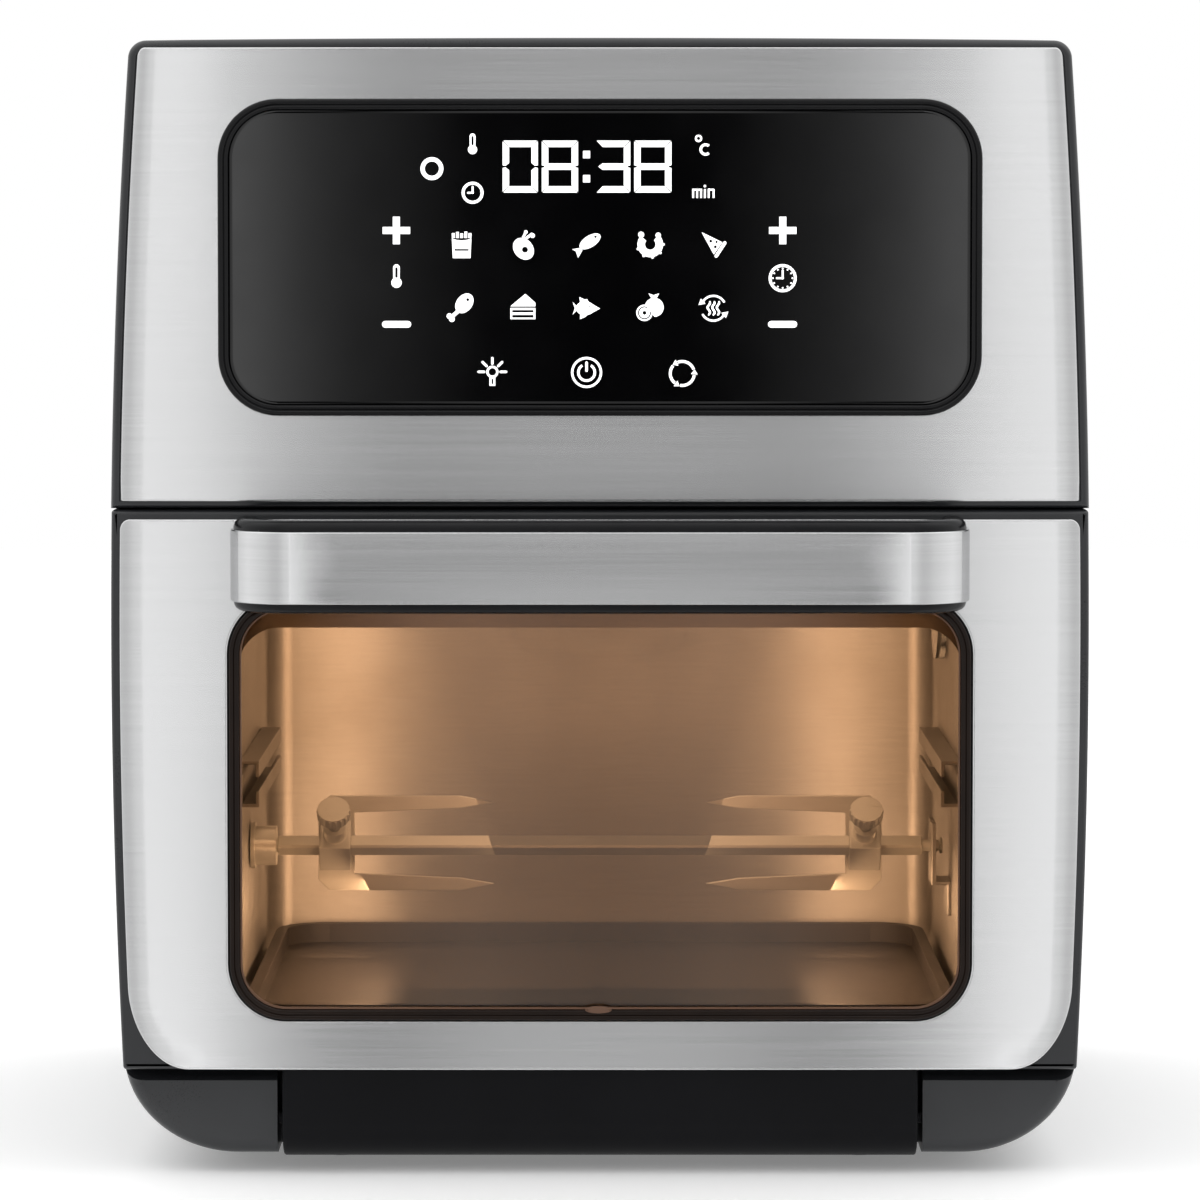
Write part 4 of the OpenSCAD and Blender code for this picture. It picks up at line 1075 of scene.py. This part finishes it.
def hinge_block():
    b = Build()
    prof = []
    for i in range(33):
        a = math.radians(0 - 180 * i / 32)
        prof.append((HINGE_Y + 13 * math.cos(a), HINGE_Z + 13 * math.sin(a)))
    prof = prof + [(-131.0, 36.4), (-130.2, 37.2), (-108.6, 37.2), (-105.0, 30.0)]
    # rounded front lower edge comes from the circle; the upper front edge runs up behind the skin
    b.prism(prof[::-1], -105.4, 105.4, 0.9, 4)
    return piece(b, "hinge_block", "door", BLOCK, sharp=38)


hinge_block()


def door_skin():
    b = Build()
    zb, zt, rt, ex, ez = 36.0, 218.5, 3.5, 21.5, 27.5
    h = []
    for i in range(24):
        a = math.radians(-90 + 90 * i / 24)
        h.append((W_SIDE - ex + ex * math.cos(a), zb + ez + ez * math.sin(a)))
    for i in range(21):
        h.append((W_SIDE, zb + ez + i * (zt - rt - zb - ez) / 20))
    for i in range(1, 9):
        a = math.radians(90 * i / 8)
        h.append((W_SIDE - rt + rt * math.cos(a), zt - rt + rt * math.sin(a)))
    loop = h + mirrored(h)
    b.plate(loop, [rrect(WIN_W, WIN_H, 19, 0, WIN_Z, n=14)], 0.0, SOFT)

    def warp(x, y, z):
        ax = abs(x)
        # the roll follows the outline, round the lower corners too
        t = W_SIDE - ax
        cz = zb + ez
        if z < cz and ax > W_SIDE - ex:
            u, v = (ax - (W_SIDE - ex)) / ex, (cz - z) / ez
            q = math.hypot(u, v)
            t = (1 - q) * (ex * abs(u) + ez * abs(v)) / max(abs(u) + abs(v), 1e-6)
            t = max(t, 0.0)
            side = abs(u) / max(math.hypot(u, v), 1e-6)
            fall = roll(t) * side * side
        else:
            fall = roll(max(t, 0.0))
        return (straight_to_side(x, z, lambda q: side_half(q) - 3.2), FRONT_Y - BOW + bow(x) + fall + y, z)
    return piece(b, "door_sheet", "door", STEEL, cuts=cuts_x(X_CUTS) + cuts_z([40, 44, 48, 52, 56, 60, 64, 67]), warp=warp, sharp=35, replaces=("door_skin",))


door_skin()


def window_rim():
    y0 = FRONT_Y - BOW
    prof = [(0.0, 0.2), (0.0, -0.15), (0.1, -0.5), (0.4, -0.78), (0.85, -0.9), (1.25, -0.82), (1.5, -0.55), (1.62, -0.4), (1.8, -0.5), (2.05, -0.72),
            (2.5, -0.8), (2.95, -0.7), (3.3, -0.4), (3.5, 0.1), (3.6, 0.9), (3.6, 2.3), (0.0, 2.3)]
    b = Build().band(rrect(244.8, 139.9, 18.6, 0, WIN_Z, n=16), [(i, y0 + d) for i, d in prof])

    def warp(x, y, z):
        return (x, y + bow(x), z)
    m, nt, p = new_mat("rim_amber_black", (0.010, 0.006, 0.004), 0.12, spec=0.16)
    n = noise(nt, 60.0, 2.0, 0.5)
    nt.links.new(mix(nt, n, (0.007, 0.004, 0.003), (0.016, 0.009, 0.006)), p.inputs["Base Color"])
    piece(b, "window_trim", "door", m, cuts=cuts_x([i * 12.0 for i in range(-10, 11)]), warp=warp, sharp=50, replaces=("window_rim",))
    # the thin amber band inside the rim: its amber is the glass's own tint, and its lightness is a painted highlight
    # standing in for the lit edge of the glass; the small oval clip at the rim's bottom centre takes the same amber
    m, nt, p = new_mat("bead_amber", (0.13, 0.068, 0.042), 0.3, spec=0.3)
    n = noise(nt, 45.0, 2.0, 0.5)
    nt.links.new(mix(nt, n, (0.11, 0.056, 0.034), (0.15, 0.080, 0.050)), p.inputs["Base Color"])
    prof = [(3.5, 1.9), (3.5, 0.25), (3.62, -0.02), (3.8, -0.1), (3.98, -0.02), (4.1, 0.25), (4.1, 1.9)]
    b = Build().band(rrect(244.8, 139.9, 18.6, 0, WIN_Z, n=16), [(i, y0 + d) for i, d in prof])
    piece(b, "window_bead", "door", m, cuts=cuts_x([i * 12.0 for i in range(-10, 11)]), warp=warp, sharp=50)
    b = Build()
    oval = [(-0.5 + 4.4 * math.cos(a), 56.2 + 1.2 * math.sin(a)) for a in [math.radians(i * 10) for i in range(36)]]
    b.plate(oval, [], y0 - 0.95, [(0.2, 1.6), (0.0, 1.4), (0.0, 0.2), (0.1, 0.06), (0.3, 0.0)])
    return piece(b, "window_clip", "door", m, sharp=50)


window_rim()


def glasses():
    b = Build()
    b.plate(rrect(WIN_W - 1.3, WIN_H - 1.3, 18.3, 0, WIN_Z, n=14), [], -131.5, [(0.6, 4.0), (0.0, 3.4), (0.0, 0.9), (0.25, 0.35), (0.9, 0.0)])
    piece(b, "outer_pane", "door", OUTER_GLASS, sharp=50, replaces=("outer_glass",))
    b = Build()
    b.plate(rrect(250, 144, 10, 0, 119.5, n=10), [], -112.5, [(0.5, 3.9), (0.0, 3.4), (0.0, 0.5), (0.5, 0.0)])
    piece(b, "inner_pane", "door", INNER_GLASS, sharp=50, replaces=("inner_glass",))


glasses()


# ---- handle
def handle_path(t, n=16):
    """Points (x, y) along the handle, moved in by t, from left to right."""
    hw, r = HANDLE_W / 2, 21.0
    pts = [(-hw + t, FRONT_Y - 0.6), (-hw + t, HANDLE_Y + r + 2)]
    for i in range(n + 1):
        a = math.radians(180 + 90 * i / n)
        pts.append((-hw + r + (r - t) * math.cos(a), HANDLE_Y + r + (r - t) * math.sin(a)))
    for i in range(1, 12):
        pts.append((lerp(-hw + r, hw - r, i / 12), HANDLE_Y + t))
    for i in range(n + 1):
        a = math.radians(270 + 90 * i / n)
        pts.append((hw - r + (r - t) * math.cos(a), HANDLE_Y + r + (r - t) * math.sin(a)))
    pts += [(hw - t, HANDLE_Y + r + 2), (hw - t, FRONT_Y - 0.6)]
    return pts


def sweep_handle(b, section):
    """section is a closed list of (t, z)."""
    lines = [b.ring([(x, y, z) for x, y in handle_path(t)]) for t, z in section]
    for a, c in zip(lines, lines[1:] + lines[:1]):
        b.strip(a, c, closed=False)
    for k in (0, -1):
        b.face([l[k] for l in lines])


def handle():
    b = Build()
    sec = []
    z0, z1 = 189.4, 219.7
    for cx, cz, r, a0 in ((1.15 + 3.0, z0 + 3.0, 3.0, 180), (9.0 - 2.6, z0 + 2.6, 2.6, 270), (9.0 - 2.6, z1 - 2.6, 2.6, 0), (1.15 + 3.0, z1 - 3.0, 3.0, 90)):
        for i in range(7):
            a = math.radians(a0 + 90 * i / 6)
            sec.append((cx + r * math.cos(a), cz + r * math.sin(a)))
    sweep_handle(b, sec)
    piece(b, "handle_core", "door", FRAME_FINE, sharp=40, replaces=("handle_grip",))
    b = Build()
    sec = []
    z0, z1 = 192.6, 216.1
    for cx, cz, r, a0 in ((0.5, z0 + 0.5, 0.5, 180), (1.6, z0 + 0.2, 0.2, 270), (1.6, z1 - 0.2, 0.2, 0), (0.5, z1 - 0.5, 0.5, 90)):
        for i in range(5):
            a = math.radians(a0 + 90 * i / 4)
            sec.append((cx + r * math.cos(a), cz + r * math.sin(a)))
    sweep_handle(b, sec)
    piece(b, "handle_cover", "door", STEEL_HANDLE, sharp=40, replaces=("handle_face",))


handle()


# ---- housing: one moulded wrap, with vent slots in both sides and the top
def housing():
    n_pts = full_half(0.0)
    loop = n_pts + [(0.0, BODY_H)] + mirrored(n_pts)
    # trim the flat underside, which the base pan closes
    keep = [k for k, p in enumerate(loop) if not (abs(p[0]) < 110.5 and p[1] < 10)]
    first, last = keep[0], keep[-1]
    count = last - first + 1

    def rail(d):
        q = full_half(d)
        l = q + [(0.0, BODY_H - d)] + mirrored(q)
        return l[first:last + 1]

    base = rail(0.0)
    s = [0.0]
    for p, q in zip(base, base[1:]):
        s.append(s[-1] + math.hypot(q[0] - p[0], q[1] - p[1]))
    total = s[-1]
    r = 14.0
    y0, y1 = -101.2, REAR_Y
    t_flat = y1 - r - y0
    t_arc = r * math.pi / 2
    t_end = t_flat + t_arc + 1.2
    cache = {}

    def at(sv, t):
        if t <= t_flat:
            d, y = 0.0, y0 + t
        elif t <= t_flat + t_arc:
            a = (t - t_flat) / r
            d, y = r * (1 - math.cos(a)), y1 - r + r * math.sin(a)
        else:
            d, y = r + (t - t_flat - t_arc), y1
        key = round(d, 4)
        if key not in cache:
            cache[key] = rail(d)
        L = cache[key]
        lo, hi = 0, count - 1
        while hi - lo > 1:
            mid = (lo + hi) // 2
            if s[mid] <= sv:
                lo = mid
            else:
                hi = mid
        f = (sv - s[lo]) / max(s[hi] - s[lo], 1e-9)
        f = min(max(f, 0.0), 1.0)
        return (lerp(L[lo][0], L[hi][0], f), y, lerp(L[lo][1], L[hi][1], f))

    def s_of_side(z, right):
        idx = [k for k, p in enumerate(base) if (p[0] > 60) == right and abs(p[0]) > 60]
        best = None
        for k in range(count - 1):
            a, c = base[k], base[k + 1]
            if (a[0] > 60) != right or abs(a[0]) < 140 or abs(c[0]) < 140:
                continue
            if (a[1] - z) * (c[1] - z) <= 0 and abs(c[1] - a[1]) > 1e-6:
                f = (z - a[1]) / (c[1] - a[1])
                best = s[k] + f * (s[k + 1] - s[k])
        return best

    def s_of_top(x):
        for k in range(count - 1):
            a, c = base[k], base[k + 1]
            if a[1] > 340 and c[1] > 340 and (a[0] - x) * (c[0] - x) <= 0 and abs(c[0] - a[0]) > 1e-6:
                f = (x - a[0]) / (c[0] - a[0])
                return s[k] + f * (s[k + 1] - s[k])

    holes = []

    def slot_hole(sc, ws, t0, t1):
        """A round-ended slot centred on sc, ws wide along s, from t0 to t1."""
        rr = ws / 2
        pts = []
        for i in range(9):
            a = math.radians(180 * i / 8)
            pts.append((sc + rr * math.cos(a), t1 - rr + rr * math.sin(a)))
        for i in range(9):
            a = math.radians(180 + 180 * i / 8)
            pts.append((sc + rr * math.cos(a), t0 + rr + rr * math.sin(a)))
        holes.append(pts)

    for right in (True, False):
        for i in range(9):
            slot_hole(s_of_side(268 + i * 9, right), 3.2, 66 - y0, 118 - y0)
    for i in range(12):
        slot_hole(s_of_top(-77 + i * 14), 3.4, 75 - y0, 125 - y0)

    b = Build()
    outer = [(0.0, 0.0), (total, 0.0), (total, t_end), (0.0, t_end)]
    rings = [b.ring([(p[0], p[1], 0) for p in l]) for l in [outer] + holes]
    b.fill(rings, drop=2)
    cuts = [((v, 0, 0), (1, 0, 0)) for v in s[1:-1]]
    arcs = [t_flat + t_arc * i / 7 for i in range(0, 8)]
    cuts += [((0, v, 0), (0, 1, 0)) for v in [2.0, 8.0, 40, 80, 120, 165, 230 - 40] + arcs if v < t_flat - 1 or v >= t_flat]

    def warp(x, y, z):
        return at(x, y)
    o = piece(b, "housing_wrap", "oven", HOUSING, cuts=cuts, warp=warp, sharp=45, closed=True, solidify=(2.5, -1), replaces=("outer_housing",), weld=1e-4)
    # outward normals, so that the wall grows inwards
    me = o.data
    far = max(me.polygons, key=lambda q: q.center.z)
    if far.normal.z < 0:
        me.flip_normals()
    return o


housing()

# ================================================================ inside


def cavity():
    # rounded plan, open at the front, with rounded lower edges
    r = 9.0
    plan = []
    x, y0, yb = CAV_X, -104.0, CAV_B
    plan.append((x, y0))
    for i in range(1, 12):
        plan.append((x, lerp(y0, yb - r, i / 11)))
    for i in range(1, 8):
        a = math.radians(90 * i / 8)
        plan.append((x - r + r * math.cos(a), yb - r + r * math.sin(a)))
    plan.append((x - r, yb))
    half = len(plan)
    n_back = 14
    full = plan + [(lerp(x - r, -(x - r), i / n_back), yb) for i in range(1, n_back)] + [(-px, py) for px, py in reversed(plan)]

    def level(d):
        """Plan moved inwards by d, keeping the open front."""
        out = []
        for px, py in full:
            k = (CAV_X - d) / CAV_X
            ny = py if py <= y0 + 1e-6 else py - d * max(0.0, (py - y0) / (yb - y0))
            out.append((px * k, ny))
        return out

    b = Build()
    rf = 7.0
    rings = []
    prof = [(rf * (1 - math.cos(math.radians(90 - a))), CAV_F + rf * (1 - math.sin(math.radians(90 - a)))) for a in (0, 15, 30, 45, 60, 75)]
    prof = []
    for i in range(8):
        a = math.radians(90 * i / 7)
        prof.append((rf * (1 - math.sin(a)), CAV_F + rf * (1 - math.cos(a))))
    zs = [CAV_F + rf + (CAV_T - CAV_F - rf) * i / 10 for i in range(1, 11)]
    prof += [(0.0, z) for z in zs]
    for d, z in prof:
        rings.append(b.ring([(px, py, z) for px, py in level(d)]))
    for a, c in zip(rings, rings[1:]):
        b.strip(a, c, closed=False)
    b.face(rings[0])
    o = piece(b, "chamber_walls", "oven", CHAMBER, sharp=40, closed=True, solidify=(1.0, -1), replaces=("cavity_liner",))
    me = o.data
    # the visible side faces the food
    floor = min(me.polygons, key=lambda q: q.center.z)
    if floor.normal.z < 0:
        me.flip_normals()
    # ceiling with the fan opening, and the flange round the mouth
    b = Build()
    outer = [(CAV_X, -104.0), (CAV_X, CAV_B), (-CAV_X, CAV_B), (-CAV_X, -104.0)]
    hole = circle(72, 0, 0, 64)
    lows, highs = [], []
    for l in (outer, hole):
        a = b.ring([(px, py, CAV_T) for px, py in l])
        c = b.ring([(px, py, CAV_T + 1.0) for px, py in l])
        b.strip(a, c)
        lows.append(a)
        highs.append(c)
    b.fill(lows, drop=2)
    b.fill(highs, drop=2)
    piece(b, "chamber_ceiling", "oven", CHAMBER, sharp=40)
    b = Build()
    mouth = rrect(242, 164, 9, 0, 126)
    b.plate(rrect(272, 203.4, 6, 0, 139.4), [mouth], -105.0, [(0.0, 1.0), (0.0, 0.25), (0.25, 0.0)])
    piece(b, "chamber_flange", "oven", CHAMBER, sharp=40)


cavity()


def rod():
    b = Build()
    q = 5.5 / math.sqrt(2)
    ch = 0.45

    def diamond(x, k, c):
        out = []
        for i in range(4):
            a = math.radians(90 * i)
            for s in (-1, 1):
                r = k
                py, pz = math.cos(a) * r, math.sin(a) * r
                ty, tz = -math.sin(a) * s * c, math.cos(a) * s * c
                py, pz = math.cos(a) * (r - c) + ty, math.sin(a) * (r - c) + tz
                out.append((x, SPIT_Y + py, SPIT_Z + pz))
        return out
    rings = [b.ring(diamond(x, k, ch)) for x, k in ((-115, q - 0.5), (-114.6, q), (114.6, q), (115, q - 0.5))]
    for a, c in zip(rings, rings[1:]):
        b.strip(a, c)
    b.face(rings[0])
    b.face(rings[-1])
    k2 = 4.0 / math.sqrt(2)
    rings = [b.ring(diamond(x, k, 0.3)) for x, k in ((-122, k2 - 0.4), (-121.6, k2), (-114.8, k2))]
    for a, c in zip(rings, rings[1:]):
        b.strip(a, c)
    b.face(rings[0])
    b.face(rings[-1])
    b.lathe([(0, 0), (2.0, 0), (2.0, 6.1), (2.6, 6.3), (2.9, 6.6), (2.9, 7.1), (2.6, 7.4), (0, 7.5)], (114.9, SPIT_Y, SPIT_Z), (1, 0, 0), 28)
    return piece(b, "spit_bar", "spit", BRIGHT, sharp=30, replaces=("spit_rod",))


rod()


# ================================================================ light, floor
def world():
    w = bpy.data.worlds.new("studio")
    SCENE.world = w
    w.use_nodes = True
    nt = w.node_tree
    nt.nodes.clear()
    out = nt.nodes.new("ShaderNodeOutputWorld")
    bg = nt.nodes.new("ShaderNodeBackground")
    nt.links.new(bg.outputs[0], out.inputs[0])
    tc = nt.nodes.new("ShaderNodeTexCoord")
    sp = nt.nodes.new("ShaderNodeSeparateXYZ")
    nt.links.new(tc.outputs["Generated"], sp.inputs[0])

    def math_node(op, a, b=None):
        n = nt.nodes.new("ShaderNodeMath")
        n.operation = op
        for k, v in enumerate((a, b)):
            if v is None:
                continue
            if hasattr(v, "is_output"):
                nt.links.new(v, n.inputs[k])
            else:
                n.inputs[k].default_value = v
        return n.outputs[0]

    def curve(fac, points, top):
        r = nt.nodes.new("ShaderNodeValToRGB")
        cr = r.color_ramp
        cr.interpolation = "LINEAR"
        while len(cr.elements) < len(points):
            cr.elements.new(0.5)
        for e, (pos, val) in zip(cr.elements, points):
            e.position = pos
            e.color = (val / top, val / top, val / top, 1)
        nt.links.new(fac, r.inputs["Fac"])
        return math_node("MULTIPLY", r.outputs["Color"], top)

    neg_y = math_node("MULTIPLY", sp.outputs["Y"], -1.0)
    az = math_node("ABSOLUTE", math_node("ARCTAN2", sp.outputs["X"], neg_y))
    az = math_node("DIVIDE", az, math.pi)            # 0 behind the camera, 1 behind the oven
    el = math_node("DIVIDE", math_node("ARCSINE", sp.outputs["Z"]), math.pi / 2)
    el_abs = math_node("ABSOLUTE", el)
    deg = 1 / 180
    at = (0, 1.5, 2.5, 3.3, 4.2, 5.2, 6.5, 8, 10, 12, 15, 20, 28, 38, 50, 70, 90, 180)
    # a low band that the panel mirrors, and the soft boxes above and below it
    low = (0.0, 0.0, 0.29, 0.38, 2.0, 0.6, 1.0, 0.9, 0.90, 0.90, 0.86, 0.78, 0.69, 0.71, 0.80, 0.9, 1.0, 0.59)
    box = (0.59, 0.71, 0.52, 0.0, 0.0, 0.10, 2.1, 0.9, 0.90, 0.90, 0.86, 0.78, 0.69, 0.71, 0.82, 0.95, 1.05, 0.58)
    direct = curve(az, [(q * deg, v) for q, v in zip(at, low)], 4.0)
    around = curve(az, [(q * deg, v) for q, v in zip(at, box)], 4.0)
    up = curve(el, [(0, 1.0), (0.12, 1.0), (0.35, 1.25), (0.6, 1.7), (1.0, 1.9)], 4.0)
    around = math_node("MULTIPLY", around, up)
    gate = nt.nodes.new("ShaderNodeMapRange")
    gate.interpolation_type = "SMOOTHSTEP"
    gate.inputs["From Min"].default_value = 2.5 / 90
    gate.inputs["From Max"].default_value = 4.5 / 90
    gate.inputs["To Min"].default_value = 0.0
    gate.inputs["To Max"].default_value = 1.0
    nt.links.new(el_abs, gate.inputs["Value"])
    inv = math_node("SUBTRACT", 1.0, gate.outputs["Result"])
    total = math_node("ADD", math_node("MULTIPLY", direct, inv), math_node("MULTIPLY", around, gate.outputs["Result"]))
    lp = nt.nodes.new("ShaderNodeLightPath")
    see = nt.nodes.new("ShaderNodeMix")
    see.data_type = "FLOAT"
    nt.links.new(lp.outputs["Is Camera Ray"], see.inputs[0])
    nt.links.new(total, see.inputs[2])
    see.inputs[3].default_value = 1.0
    nt.links.new(see.outputs[0], bg.inputs["Strength"])
    bg.inputs["Color"].default_value = (1, 1, 1, 1)


world()


def floor():
    m, nt, p = new_mat("floor_white", (0.9, 0.9, 0.9), 0.6, spec=0.2, glow=(1, 1, 1), glow_strength=0.2)
    n1 = noise(nt, 3.0, 2.0, 0.5)
    nt.links.new(mix(nt, n1, (0.895, 0.895, 0.895), (0.905, 0.905, 0.905)), p.inputs["Base Color"])
    near = rrect(440, 420, 60, 0, 15, n=12)
    far = rrect(3600, 3600, 300, 0, 1340, n=12)
    for name, outer, hole in (("floor_near", near, None), ("floor_far", far, near)):
        b = Build()
        if hole:
            b.strip(b.ring([(x, y, 0) for x, y in outer]), b.ring([(x, y, 0) for x, y in hole]))
        else:
            b.face(b.ring([(x, y, 0) for x, y in outer]))
        me = bpy.data.meshes.new(name)
        me.from_pydata([(x * MM, y * MM, z * MM) for x, y, z in b.v], [], b.f)
        o = bpy.data.objects.new(name, me)
        SCENE.collection.objects.link(o)
        me.materials.append(m)
        if hole:
            o.visible_glossy = False


floor()


def area(name, loc, target, size, power, colour=(1, 1, 1), size_y=None, seen=False):
    d = bpy.data.lights.new(name, "AREA")
    d.energy = power
    d.color = colour
    d.shape = "RECTANGLE"
    d.size = size
    d.size_y = size_y or size
    o = bpy.data.objects.new(name, d)
    SCENE.collection.objects.link(o)
    o.location = loc
    o.rotation_euler = (Vector(target) - Vector(loc)).to_track_quat("-Z", "Y").to_euler()
    o.visible_camera = seen
    o.visible_transmission = seen
    return o


WARM = (1.0, 0.86, 0.70)
# two soft strips near the back corners of the cavity, side and tray washes, and a weak light on the spit
area("cavity_strip_left", (-0.098, 0.062, 0.128), (-0.098, 0.112, 0.128), 0.024, 0.042, WARM, 0.17)
area("cavity_strip_right", (0.092, 0.062, 0.128), (0.092, 0.112, 0.128), 0.024, 0.038, WARM, 0.17)
area("cavity_side_left", (-0.055, 0.0, 0.140), (-0.125, 0.0, 0.115), 0.12, 0.041, WARM, 0.12)
area("cavity_side_right", (0.055, 0.0, 0.140), (0.125, 0.0, 0.115), 0.12, 0.041, WARM, 0.12)
area("cavity_down_left", (-0.100, -0.020, 0.205), (-0.104, -0.020, 0.050), 0.15, 0.020, WARM, 0.03)
area("cavity_down_right", (0.098, -0.020, 0.205), (0.102, -0.020, 0.050), 0.15, 0.020, WARM, 0.03)
area("cavity_low_left", (-0.080, -0.020, 0.072), (-0.122, -0.020, 0.050), 0.15, 0.085, WARM, 0.02)
area("cavity_low_right", (0.080, -0.020, 0.072), (0.122, -0.020, 0.050), 0.15, 0.085, WARM, 0.02)
area("cavity_spit", (0.0, -0.095, 0.150), (0.0, 0.005, 0.092), 0.20, 0.050, WARM, 0.02)
